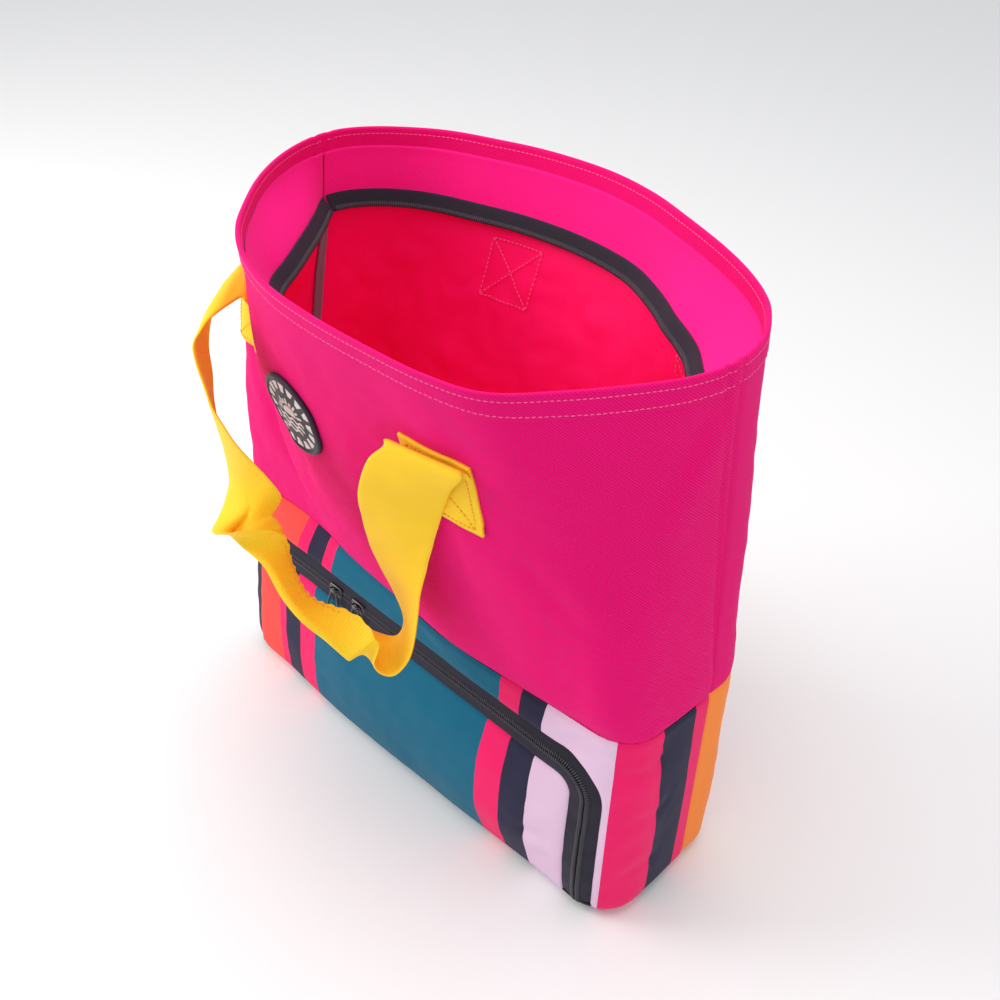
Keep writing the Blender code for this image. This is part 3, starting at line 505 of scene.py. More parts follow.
def webbing(name, colour, dark):
    k = Mat(name)
    ribs = k.sin(k.u, 0.0017)
    cols = k.sin(k.v, 0.0021)
    zig = k.math("PINGPONG", k.v, 0.0042)
    chev = k.sin(k.math("MULTIPLY_ADD", zig, 0.7, k.u), 0.0024)
    h = k.math("MULTIPLY_ADD", chev, 0.3, k.math("MULTIPLY", ribs, k.math("MULTIPLY_ADD", cols, 0.3, 0.7)))
    cloud = k.noise(k.uv, 30, 3.0)
    fibre = k.noise(k.uv, 1500, 2.0)
    c = k.mix(k.math("MULTIPLY_ADD", h, 0.22, 0.68), (*dark, 1), (*colour, 1))
    c = k.shade(c, cloud, 0.93, 1.06)
    c = k.shade(c, fibre, 0.93, 1.07)
    k.put(k.b.inputs["Base Color"], c)
    k.b.inputs["Roughness"].default_value = 0.62
    k.put(k.b.inputs["Normal"], k.bump(h, 0.45, 0.0003, k.bump(cloud, 0.06, 0.001)))
    k.b.inputs["Sheen Weight"].default_value = 0.10
    k.b.inputs["Sheen Tint"].default_value = (1, 0.8, 0.3, 1)
    k.b.inputs["Specular IOR Level"].default_value = 0.18
    return k.m


def moulded(name, colour, rough, grain=600, depth=0.15, metal=0.0, coat=0.0, vary=(0.9, 1.1)):
    k = Mat(name)
    n = k.noise(k.obj, grain, 3.0)
    big = k.noise(k.obj, 45, 3.0)
    c = k.shade(k.rgb(colour), big, *vary)
    k.put(k.b.inputs["Base Color"], c)
    r = k.t.nodes.new("ShaderNodeMapRange")
    k.put(r.inputs["Value"], big)
    r.inputs["To Min"].default_value = rough * 0.8
    r.inputs["To Max"].default_value = min(1, rough * 1.2)
    k.put(k.b.inputs["Roughness"], r.outputs[0])
    k.put(k.b.inputs["Normal"], k.bump(n, depth, 0.0002))
    k.b.inputs["Metallic"].default_value = metal
    k.b.inputs["Coat Weight"].default_value = coat
    k.b.inputs["Coat Roughness"].default_value = 0.15
    return k.m


PINK = (0.90, 0.0022, 0.180)
HOT = (0.90, 0.010, 0.140)
NAVY = (0.020, 0.019, 0.052)
TEAL = (0.0020, 0.125, 0.215)
LILAC = (0.80, 0.560, 0.745)
ORANGE = (1.0, 0.270, 0.040)
REDOR = (1.0, 0.075, 0.060)
S0, S1 = -0.36, 0.36


def stripes(edges):
    """edges: (first colour, (s, colour), ...)."""
    def fn(k):
        f = k.math("DIVIDE", k.math("SUBTRACT", k.u, S0), S1 - S0)
        stops = [(0.0, edges[0])] + [((s - S0) / (S1 - S0), c) for s, c in edges[1:]]
        return k.ramp(f, stops)
    return fn


FRAME_STRIPES = [HOT, (-0.300, LILAC), (-0.236, REDOR), (-0.158, HOT), (-0.146, NAVY), (-0.122, HOT),
                 (-0.107, TEAL), (0.1149, HOT), (0.1363, NAVY), (0.1626, LILAC), (0.2310, HOT),
                 (0.2775, NAVY), (0.3155, HOT)]
FLAP_STRIPES = [REDOR, (-0.194, HOT), (-0.180, NAVY), (-0.155, HOT), (-0.131, TEAL),
                (0.1040, HOT), (0.1300, NAVY), (0.1580, LILAC)]
BACK_STRIPES = [ORANGE, (-0.262, HOT), (-0.236, NAVY), (-0.205, LILAC), (-0.150, HOT), (-0.125, NAVY),
                (-0.100, TEAL), (0.100, HOT), (0.125, NAVY), (0.150, HOT), (0.175, REDOR),
                (0.235, ORANGE)]

M_PINK = fabric("pink_canvas", PINK, pitch=0.0019, depth=0.6, sheen=0.10, tint=(1.0, 0.25, 0.75),
                twill=True, weave_vary=0.36, spec=0.12)
M_FACING = fabric("pink_facing", (0.98, 0.010, 0.255), pitch=0.0019, depth=0.5, sheen=0.14,
                  tint=(1.0, 0.35, 0.8), twill=True, weave_vary=0.16, spec=0.12)
M_LINING = fabric("red_lining", (1.0, 0.002, 0.150), rough=0.6, pitch=0.0008, depth=0.2, sheen=0.12,
                  tint=(1, 0.2, 0.5), weave_vary=0.05, spec=0.2)
M_FRAME = fabric("striped_frame", PINK, pitch=0.0010, depth=0.25, sheen=0.06, rough=0.72, spec=0.16,
                 colour_fn=stripes(FRAME_STRIPES), weave_vary=0.06)
M_FLAP = fabric("striped_flap", PINK, pitch=0.0010, depth=0.25, sheen=0.06, rough=0.72, spec=0.16,
                colour_fn=stripes(FLAP_STRIPES), weave_vary=0.06)
M_BACK = fabric("striped_back", PINK, pitch=0.0010, depth=0.25, sheen=0.06, rough=0.72, spec=0.16,
                colour_fn=stripes(BACK_STRIPES), weave_vary=0.06)
M_TAPE = fabric("zip_tape_black", (0.016, 0.014, 0.024), rough=0.75, pitch=0.0011, depth=0.5, sheen=0.12,
                tint=(0.7, 0.7, 1.0), twill=True, weave_vary=0.3)
M_COIL = moulded("zip_coil_nylon", (0.040, 0.038, 0.050), 0.30, depth=0.1, vary=(0.7, 1.4))
M_METAL = moulded("slider_lacquer", (0.010, 0.010, 0.012), 0.16, depth=0.05, metal=0.4, coat=0.6)
M_GREY = fabric("grey_binding", (0.22, 0.20, 0.24), pitch=0.0012, depth=0.5, weave_vary=0.25)
M_WEB = webbing("yellow_webbing", (1.0, 0.70, 0.030), (0.95, 0.44, 0.006))
M_THREAD = moulded("pink_thread", (0.95, 0.11, 0.34), 0.6, vary=(0.85, 1.15))
M_THREAD_Y = moulded("yellow_thread", (0.85, 0.36, 0.012), 0.6, vary=(0.85, 1.15))
M_THREAD_D = moulded("dark_thread", (0.03, 0.028, 0.05), 0.6, vary=(0.85, 1.15))
M_RUBBER = moulded("badge_rubber", (0.016, 0.017, 0.032), 0.55, grain=900, depth=0.25)
M_WHITE = moulded("badge_white", (0.82, 0.82, 0.84), 0.5, grain=900, depth=0.2, vary=(0.95, 1.03))
M_FOIL = moulded("cooler_foil", (0.72, 0.74, 0.77), 0.32, grain=90, depth=0.6, metal=0.55, vary=(0.9, 1.05))
M_BASE = fabric("base_cloth", (0.020, 0.019, 0.045), pitch=0.0018, depth=0.5, weave_vary=0.3)

# ---------------------------------------------------------------- tote walls
FACE_Z = 0.482


def stitch_groove(z):
    return -0.35 * MM * (np.exp(-((z - 0.5340) / 0.0011) ** 2) + np.exp(-((z - 0.5220) / 0.0011) ** 2))


def hem_off(s, z):
    return (1.1 * MM * smooth((z - 0.5188) / 0.0014) + stitch_groove(z)
            + 0.22 * MM * np.sin(s * 2 * math.pi / 0.0093 + 2 * np.sin(s * 37)) *
            np.exp(-((z - 0.522) / 0.006) ** 2))


def tote_wall(name, side, node, n_cols):
    zs = np.r_[Z_WAIST, np.linspace(0.2142, 0.5150, 96), np.linspace(0.5172, 0.5378, 13)]
    u = np.linspace(0, 1, n_cols)
    u = np.sort(np.r_[u, 0.0022, 0.0045, 0.9978, 0.9955])
    rows, uvs = [], []
    for z in zs:
        s = (u - U_MID[side]) * length(side, z)
        zz = np.full_like(s, z)
        rows.append(P(side, s, zz, hem_off(s, zz)))
        uvs.append(np.stack([s, zz], -1))
    for k in range(1, 8):       # over the top edge
        t = math.pi * k / 8
        s = (u - U_MID[side]) * length(side, Z_RIM)
        off = 1.1 * MM - 2.1 * MM + 2.1 * MM * math.cos(t)
        rows.append(P(side, s, np.full_like(s, 0.5378) + 2.1 * MM * math.sin(t), off))
        uvs.append(np.stack([s, np.full_like(s, 0.5378 + 0.0008 * k)], -1))
    for z in np.linspace(0.5370, 0.5190, 10):
        s = (u - U_MID[side]) * length(side, z)
        zz = np.full_like(s, z)
        rows.append(P(side, s, zz, -3.1 * MM - stitch_groove(zz) + 0.9 * MM * (1 - smooth((zz - 0.5188) / 0.0014))))
        uvs.append(np.stack([s, 1.0840 - zz], -1))
    me = grid_mesh(name, rows, np.array(uvs), flip=(side > 0))
    return link(name, me, M_PINK, "bag", [node], shade=60)


tote_front = tote_wall("tote_front", -1, "tote_front_panel", 200)
tote_back = tote_wall("tote_back", 1, "tote_back_panel", 180)

# plan inset of the zip tape from the wall, in mm, along s
INSET = {
    -1: ([-0.333, -0.318, -0.300, -0.274, -0.245, -0.215, -0.186, -0.156, -0.12, -0.06, 0.0, 0.10, 0.20,
          0.28, 0.345], [4, 13, 22, 29.5, 31.5, 28.3, 21.7, 12.6, 8, 7, 7, 8, 10, 17, 25]),
    1: ([-0.325, -0.30, -0.27, -0.20, -0.05, 0.04, 0.078, 0.104, 0.131, 0.157, 0.184, 0.21, 0.237, 0.263,
         0.295], [4, 4, 5, 5, 3, 5, 13, 20, 24, 28, 34, 36.5, 36, 32, 25]),
}


def inset(side, s):
    xs, ys = INSET[side]
    return hermite(xs, np.array(ys, float), np.asarray(s, float)) * MM


def inner(side, u, drop, extra=0.0):
    """Inside skin: drop 0 at the hem's inner edge to 1 at the tape, then 2 at the floor."""
    z = np.where(drop <= 1, 0.5230 + (FACE_Z - 0.5230) * drop, FACE_Z + (0.2175 - FACE_Z) * (drop - 1))
    s = (u - U_MID[side]) * length(side, z)
    w = np.where(drop <= 1, smooth(drop) * 0.35 + drop * 0.65, 1 - smooth((drop - 1) / 0.36))
    push = np.clip(-disp(side, s, z), 0, None)
    off = -np.maximum(3.0 * MM + w * inset(side, s), push + 3.6 * MM) - extra
    calm = np.where(drop > 1, smooth((drop - 1) / 0.3), 0)
    rng_w = ripple(s + 5.3 * side, z, 21, n=16, low=0.03, high=0.11) * 1.5 * MM * calm
    ends = smooth(np.minimum(u, 1 - u) / 0.06)
    return P0(side, s, z, off - (2.0 * MM + 1.5 * MM * calm) * (drop > 1) - np.abs(rng_w) * ends), s, z


def inner_sheet(name, side, d0, d1, rows_n, cols, mat, nodes, t=0.8 * MM, extra=0.0):
    u = np.linspace(0.0008, 0.9992, cols)
    rows, uvs = [], []
    for d in np.linspace(d0, d1, rows_n):
        p, s, z = inner(side, u, np.full_like(u, d), extra)
        rows.append(p)
        uvs.append(np.stack([s, z], -1))
    me = grid_mesh(name, rows, np.array(uvs), flip=(side > 0))
    ob = link(name, me, mat, "bag", nodes, shade=60)
    return freeze(ob, thick(t))


for nm, sd in (("front", -1), ("back", 1)):
    inner_sheet("facing_" + nm, sd, 0.0, 1.02, 16, 170, M_FACING, ["tote_%s_facing" % nm])
    inner_sheet("lining_" + nm, sd, 1.012, 2.0, 60, 170, M_LINING, ["tote_%s_lining" % nm])


def along_tape(side, n):
    """Top edge of the zip tape as points with their inward and along directions."""
    u = np.linspace(0.004, 0.996, n)
    p, s, _ = inner(side, u, np.full_like(u, 1.0))
    tan = np.gradient(p, axis=0)
    tan /= np.linalg.norm(tan, axis=1, keepdims=True)
    up = np.array([0, 0, 1.0])
    inward = np.cross(tan, up) * (-1 if side < 0 else 1)
    inward /= np.linalg.norm(inward, axis=1, keepdims=True)
    acc = np.r_[0, np.cumsum(np.linalg.norm(np.diff(p, axis=0), axis=1))]
    return p, tan, inward, acc


def top_zip(side, nm):
    p, tan, inw, acc = along_tape(side, 260)
    wid, lean = 0.0150, math.radians(38)
    down = np.array([0, 0, -1.0])
    prof = [(-0.0010, 0.0008), (0.0008, 0.0013), (0.004, 0.0010), (0.008, 0.0008), (0.011, 0.0008),
            (wid, 0.0009)]
    rows, uvs = [], []
    for d, o in prof:
        dirn = inw * math.sin(lean) + down * math.cos(lean)
        nrm = inw * math.cos(lean) - down * math.sin(lean)
        rows.append(p + dirn * d + nrm * o)
        uvs.append(np.stack([acc, np.full_like(acc, d)], -1))
    me = grid_mesh("top_tape_" + nm, rows, np.array(uvs), flip=(side < 0))
    ob = link("top_tape_" + nm, me, M_TAPE, "bag", ["top_zip_tape_" + nm], shade=60)
    freeze(ob, thick(0.7 * MM))
    # coil: one bead per turn, on the tape's free edge
    total = acc[-1] - 0.012
    n_t = int(total / 0.0022)
    at = 0.006 + np.arange(n_t) * (total / n_t)
    c = np.stack([np.interp(at, acc, p[:, k]) for k in range(3)], -1)
    tt = np.stack([np.interp(at, acc, tan[:, k]) for k in range(3)], -1)
    ii = np.stack([np.interp(at, acc, inw[:, k]) for k in range(3)], -1)
    dirn = ii * math.sin(lean) + down * math.cos(lean)
    nrm = ii * math.cos(lean) - down * math.sin(lean)
    beads("top_coil_" + nm, c + dirn * (wid - 0.0022) + nrm * 0.0012, tt, dirn, nrm,
          (0.00075, 0.0026, 0.0012), M_COIL, "bag", ["top_zip_coil_" + nm])


BEAD = None


def bead_shape():
    """Small rounded block, -1..1 on each axis."""
    global BEAD
    if BEAD is None:
        bm = bmesh.new()
        bmesh.ops.create_cube(bm, size=2.0)
        bmesh.ops.bevel(bm, geom=list(bm.edges), offset=0.55, segments=1, affect="EDGES", profile=0.5)
        bm.verts.ensure_lookup_table()
        v = np.array([x.co[:] for x in bm.verts])
        f = [[x.index for x in fc.verts] for fc in bm.faces]
        bm.free()
        BEAD = (v, f)
    return BEAD


def beads(name, centres, a, b, c, half, mat, body, nodes=(), blend=None):
    """Many small rounded blocks, each with axes a, b, c and half sizes."""
    v, f = bead_shape()
    centres = np.asarray(centres, float)
    n = len(centres)
    a, b, c = (np.broadcast_to(np.asarray(x, float), centres.shape) for x in (a, b, c))
    pts = (centres[:, None, :] + v[None, :, 0:1] * half[0] * a[:, None, :]
           + v[None, :, 1:2] * half[1] * b[:, None, :] + v[None, :, 2:3] * half[2] * c[:, None, :])
    faces = [[i + k * len(v) for i in fc] for k in range(n) for fc in f]
    uv = np.repeat(np.stack([np.arange(n) * 0.003, np.zeros(n)], -1), len(v), axis=0)
    me = mesh_from(name, pts.reshape(-1, 3), faces, uv)
    ob = link(name, me, mat, None if blend else body, nodes, shade=179)
    if blend:
        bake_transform(ob)
    return ob


def stitches(name, path, normal, mat, body, pitch=0.0042, fill=0.72, r=0.00042, lift=0.0001,
             nodes=(), blend=None):
    """Dashes of thread along a 3D path with a normal at each point."""
    path, normal = np.asarray(path, float), np.asarray(normal, float)
    acc = np.r_[0, np.cumsum(np.linalg.norm(np.diff(path, axis=0), axis=1))]
    n = max(1, int(acc[-1] / pitch))
    at = (np.arange(n) + 0.5) * acc[-1] / n
    c = np.stack([np.interp(at, acc, path[:, k]) for k in range(3)], -1)
    nn = np.stack([np.interp(at, acc, normal[:, k]) for k in range(3)], -1)
    nn /= np.linalg.norm(nn, axis=1, keepdims=True)
    e = 0.3 * pitch
    tt = np.stack([np.interp(at + e, acc, path[:, k]) - np.interp(at - e, acc, path[:, k])
                   for k in range(3)], -1)
    tt /= np.linalg.norm(tt, axis=1, keepdims=True)
    bb = np.cross(nn, tt)
    return beads(name, c + nn * lift, tt, bb, nn, (pitch * fill / 2, r, r * 0.8), mat, body,
                 nodes, blend)


def wall_path(side, s, z, off):
    p = P(side, s, z, off)
    q = P(side, s, z, np.asarray(off) + 0.002)
    return p, q - p


top_zip(-1, "front")
top_zip(1, "back")

# hem stitching, outside and inside
for nm, sd in (("front", -1), ("back", 1)):
    for row, z in enumerate((0.5340, 0.5220)):
        s = (np.linspace(0.004, 0.996, 420) - U_MID[sd]) * length(sd, z)
        zz = np.full_like(s, z)
        p, n = wall_path(sd, s, zz, hem_off(s, zz))
        stitches("hem_stitch_%s_%d" % (nm, row), p, n, M_THREAD, "bag")
        p, n = wall_path(sd, s, zz, -3.1 * MM + 0.3 * MM)
        stitches("hem_stitch_in_%s_%d" % (nm, row), p, -n, M_THREAD, "bag")

# the anchors' box stitching as it shows through on the facing and lining
def inside_box(side, s0, name):
    pts, nrm, al = [], [], []
    a, z0, z1 = 0.0265, 0.404, 0.4585
    runs = [((s0 - a, z0), (s0 + a, z0)), ((s0 + a, z0), (s0 + a, z1)), ((s0 + a, z1), (s0 - a, z1)),
            ((s0 - a, z1), (s0 - a, z0)), ((s0 - a, z0), (s0 + a, z1)), ((s0 - a, z1), (s0 + a, z0))]
    for p0, p1 in runs:
        ln = math.hypot(p1[0] - p0[0], p1[1] - p0[1])
        f = (np.arange(int(ln / 0.0042)) + 0.5) / int(ln / 0.0042)

        def at(ff, extra):
            ss, zz = p0[0] + (p1[0] - p0[0]) * ff, p0[1] + (p1[1] - p0[1]) * ff
            uu = U_MID[side] + ss / length(side, zz)
            return inner(side, uu, 1 + (FACE_Z - zz) / (FACE_Z - 0.2175), extra)[0]
        p, q, o = at(f, 0.0010), at(f + 0.002, 0.0010), at(f, 0.0030)
        n = (o - p) / np.linalg.norm(o - p, axis=1, keepdims=True)
        t = (q - p) / np.linalg.norm(q - p, axis=1, keepdims=True)
        pts.append(p)
        nrm.append(n)
        al.append(t)
    p, n, t = np.concatenate(pts), np.concatenate(nrm), np.concatenate(al)
    beads(name, p, t, np.cross(n, t), n, (0.0015, 0.0005, 0.0004), M_THREAD, "bag")


for _k, _s in enumerate(ANCHOR_S["back"]):
    inside_box(1, _s, "lining_box_stitch_back_%d" % _k)
for _k, _s in enumerate(ANCHOR_S["front"]):
    inside_box(-1, _s, "lining_box_stitch_front_%d" % _k)


# tote floor
def floor_sheet():
    n, m = 90, 30
    front = P(-1, (np.linspace(0.002, 0.998, n) - U_MID[-1]) * length(-1, 0.219), 0.219, -5.5 * MM)
    back = P(1, (np.linspace(0.002, 0.998, n) - U_MID[1]) * length(1, 0.219), 0.219, -5.5 * MM)
    rows, uvs = [], []
    for j in range(m + 1):
        f = j / m
        row = front * (1 - f) + back * f
        edge = min(f, 1 - f) * 2
        dip = smooth(np.minimum(np.minimum(np.linspace(0, 1, n), np.linspace(1, 0, n)) / 0.06, edge / 0.25))
        row = row.copy()
        row[:, 2] = 0.2190 - 0.0028 * dip + 0.0006 * ripple(row[:, 0], row[:, 1], 33, low=0.03, high=0.1)
        rows.append(row)
        uvs.append(row[:, :2])
    me = grid_mesh("tote_floor_cloth", rows, np.array(uvs))
    ob = link("tote_floor_cloth", me, M_LINING, "bag",
              ["tote_floor", "divider_board", "divider_foam"], shade=60)
    return freeze(ob, thick(0.9 * MM))


floor_cloth = floor_sheet()


# grey binding down the lining's side seams
def binding(nm, right):
    rows, uvs = [], []
    for d in np.linspace(1.05, 1.99, 40):
        pts = []
        for sd, us in ((-1, (0.009, 0.006, 0.002)), (1, (0.002, 0.006, 0.009))):
            for u in us:
                uu = np.array([1 - u if right else u])
                p, s, z = inner(sd, uu, np.array([d]), 1.6 * MM + (0.0010 if 0.001 < u < 0.007 else 0))
                pts.append(p[0])
        rows.append(pts)
        uvs.append([(k * 0.004, d * 0.27) for k in range(6)])
    me = grid_mesh("binding_" + nm, rows, np.array(uvs), flip=not right)
    ob = link("binding_" + nm, me, M_GREY, "bag", ["lining_seam_binding_" + nm], shade=60)
    return freeze(ob, ("SUBSURF", {"levels": 1, "render_levels": 1}), thick(0.9 * MM))


binding("left", False)
binding("right", True)


def with_flap(ob):
    ob.parent = None
    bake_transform(ob)
    return ob


def zip_u(step=0.004, z0=0.0):
    """(s, z, outward ns, nz) along the cooler zip's centre line."""
    zc, rows = ZIP_Z - ZIP_R, []
    a, b = ZIP_LEFT + ZIP_R, ZIP_RIGHT - ZIP_R
    n = int((zc - z0) / step)
    for z in np.linspace(z0, zc, n, endpoint=False):
        rows.append((ZIP_LEFT, z, -1.0, 0.0))
    corner = math.atan2(Z_WAIST - zc, a + REACH[-1])
    ts = sorted([*np.linspace(0, math.pi / 2, 15, endpoint=False), corner])
    for t in ts:
        rows.append((a - ZIP_R * math.cos(t), zc + ZIP_R * math.sin(t), -math.cos(t), math.sin(t)))
    for s in np.linspace(a, b, int((b - a) / step), endpoint=False):
        rows.append((s, ZIP_Z, 0.0, 1.0))
    corner = math.atan2(Z_WAIST - zc, seam_s(-1, 0.1, True) - b)
    ts = sorted([*np.linspace(math.pi / 2, 0, 15, endpoint=False), corner], reverse=True)
    for t in ts:
        rows.append((b + ZIP_R * math.cos(t), zc + ZIP_R * math.sin(t), math.cos(t), math.sin(t)))
    for z in np.linspace(zc, z0, n + 1):
        rows.append((ZIP_RIGHT, z, 1.0, 0.0))
    return np.array(rows)


def puff(d):
    """Height of the quilted cloth at distance d from the zip's edge."""
    return np.interp(d, [0, 0.0004, 0.0013, 0.003, 0.007, 0.014, 0.035, 0.07],
                     [-2.0, -0.9, 0.0, 0.6, 1.0, 0.9, 0.3, 0.0]) * MM


EDGE_ROWS = [0.0, 0.0004, 0.0013, 0.003, 0.006, 0.0095]


def frame_panel():
    st = zip_u()
    lo, hi = seam_s(-1, 0.1, False), seam_s(-1, 0.1, True)
    inner_pt = st[:, :2] + st[:, 2:] * ZIP_HALF
    with np.errstate(divide="ignore"):
        reach_s = np.where(st[:, 2] < -1e-6, (lo - inner_pt[:, 0]) / np.where(st[:, 2] < -1e-6, st[:, 2], 1),
                           np.where(st[:, 2] > 1e-6, (hi - inner_pt[:, 0]) / np.where(st[:, 2] > 1e-6, st[:, 2], 1), 9))
        reach_z = np.where(st[:, 3] > 1e-6, (Z_WAIST - inner_pt[:, 1]) / np.where(st[:, 3] > 1e-6, st[:, 3], 1), 9)
    total = np.minimum(reach_s, reach_z)
    rows, uvs = [], []
    q = inner_pt
    rows.append(P(-1, q[:, 0], q[:, 1], -3.2 * MM))
    uvs.append(q)
    for d in EDGE_ROWS:
        q = inner_pt + st[:, 2:] * d
        rows.append(P(-1, q[:, 0], q[:, 1], puff(d)))
        uvs.append(q)
    for f in np.linspace(0, 1, 35)[1:]:
        d = EDGE_ROWS[-1] + (total - EDGE_ROWS[-1]) * f
        q = inner_pt + st[:, 2:] * d[:, None]
        rows.append(P(-1, q[:, 0], q[:, 1], puff(d) * (1 - f)))
        uvs.append(q)
    me = grid_mesh("cooler_frame", rows, np.array(uvs), flip=True)
    ob = link("cooler_frame", me, M_FRAME, "bag",
              ["cooler_front_panel", "cooler_header_foam", "cooler_side_foam_left", "cooler_side_foam_right"],
              shade=60)
    return freeze(ob, thick(1.2 * MM))


cooler_frame = frame_panel()


def flap_grid(name, mat, nodes, shrink, off_fn, t, z0=0.0):
    sl, sr = ZIP_LEFT + ZIP_HALF + shrink, ZIP_RIGHT - ZIP_HALF - shrink
    r, zc = ZIP_R - ZIP_HALF - shrink, ZIP_Z - ZIP_R
    near = [0, 0.0004, 0.0013, 0.003, 0.0055, 0.008, 0.0105, 0.013]
    cols = np.r_[[sl + d for d in near], np.linspace(sl + r, sr - r, 118), [sr - d for d in near[::-1]]]
    q = np.clip(np.maximum(sl + r - cols, cols - (sr - r)), 0, r)
    top = zc + np.sqrt(np.clip(r * r - q * q, 0, None))
    rows, uvs = [], []
    for f in np.linspace(0, 1, 42)[:-1]:
        rows.append(z0 + (top - 0.0105 - z0) * f)
    for d in near[::-1]:
        rows.append(top - np.minimum(d, 0.0105))
    pts = []
    for k, z in enumerate(rows):
        mid, half = (sl + sr) / 2, (sr - sl) / 2
        qs, qz = np.abs(cols - mid) - (half - r), z - zc
        sd = np.hypot(np.maximum(qs, 0), np.maximum(qz, 0)) + np.minimum(np.maximum(qs, qz), 0) - r
        pts.append(P(-1, cols, z, off_fn(np.clip(-sd, 0, None))))
        uvs.append(np.stack([cols, z], -1))
    me = grid_mesh(name, pts, np.array(uvs))
    ob = link(name, me, mat, None, nodes, shade=60)
    freeze(ob, thick(t))
    return with_flap(ob)


flap_cloth = flap_grid("flap_cloth", M_FLAP, ["cooler_flap"], 0.0, puff, 1.2 * MM)
flap_lining = flap_grid("flap_lining", M_FOIL, ["flap_liner", "flap_foam"], 0.0012,
                        lambda d: (-3.4 - 3.2 * smooth(d / 0.012)) * MM, 0.6 * MM, z0=0.0125)


def zip_strip(nm, sign, nodes):
    st = zip_u(step=0.003, z0=0.0035)
    rows, uvs = [], []
    acc = np.r_[0, np.cumsum(np.hypot(*np.diff(st[:, :2], axis=0).T))]
    for r, o in ((0.0005, 0.1), (0.003, 0.1), (0.0055, -0.2), (0.009, -0.7), (0.0128, -1.3), (0.0160, -1.9)):
        q = st[:, :2] + st[:, 2:] * r * sign
        rows.append(P(-1, q[:, 0], q[:, 1], o * MM))
        uvs.append(np.stack([acc, np.full_like(acc, r)], -1))
    me = grid_mesh("cooler_tape_" + nm, rows, np.array(uvs), flip=(sign > 0))
    tape = link("cooler_tape_" + nm, me, M_TAPE, None if sign < 0 else "bag",
                ["cooler_zip_tape_" + nm], shade=60)
    freeze(tape, thick(0.7 * MM))
    total = acc[-1]
    n = int(total / 0.0021)
    at = (np.arange(n) + 0.5) * total / n
    q = np.stack([np.interp(at, acc, st[:, k]) for k in range(4)], -1)
    q[:, 2:] /= np.linalg.norm(q[:, 2:], axis=1, keepdims=True)
    m = q[:, :2] + q[:, 2:] * 0.0024 * sign
    p = P(-1, m[:, 0], m[:, 1], 0.9 * MM)
    nn = P(-1, m[:, 0], m[:, 1], 2.6 * MM) - p
    nn /= np.linalg.norm(nn, axis=1, keepdims=True)
    far = m + q[:, 2:] * 0.002 * sign
    cross = P(-1, far[:, 0], far[:, 1], 0.6 * MM) - p
    cross /= np.linalg.norm(cross, axis=1, keepdims=True)
    along = np.cross(nn, cross)
    coil = beads("cooler_coil_" + nm, p, along, cross, nn, (0.00066, 0.0021, 0.0011), M_COIL,
                 None if sign < 0 else "bag", ["cooler_zip_coil_" + nm])
    if sign < 0:
        with_flap(tape)
        with_flap(coil)


zip_strip("frame", 1, None)
zip_strip("flap", -1, None)


def cooler_back():
    u = np.sort(np.r_[np.linspace(0, 1, 170), 0.0022, 0.0045, 0.9955, 0.9978])
    rows, uvs = [], []
    for z in np.r_[np.linspace(0, 0.016, 9), np.linspace(0.020, 0.2115, 56), Z_WAIST]:
        s = (u - U_MID[1]) * length(1, z)
        rows.append(P(1, s, np.full_like(s, z)))
        uvs.append(np.stack([s, np.full_like(s, z)], -1))
    me = grid_mesh("cooler_back", rows, np.array(uvs), flip=True)
    ob = link("cooler_back", me, M_BACK, "bag",
              ["cooler_back_panel", "cooler_back_foam", "cooler_rear_corner_foam_left",
               "cooler_rear_corner_foam_right"], shade=60)
    return freeze(ob, thick(1.2 * MM))


cooler_back_ob = cooler_back()


def loop_points(z, off, wrinkle=0.0):
    """Closed-compartment wall points from the opening's left lip round to its right lip."""
    pts, dist = [], []
    parts = ((-1, np.linspace(-0.2285, seam_s(-1, 0.1, False), 22)),
             (1, np.linspace(seam_s(1, 0.1, False), seam_s(1, 0.1, True), 120)[1:]),
             (-1, np.linspace(seam_s(-1, 0.1, True), 0.1965, 30)[1:]))
    for sd, s in parts:
        zz = np.full_like(s, z)
        o = off + wrinkle * ripple(s * 1.0 + sd * 2.2, zz, 41, n=18, low=0.018, high=0.06)
        pts.append(P(sd, s, zz, o))
    return np.concatenate(pts)


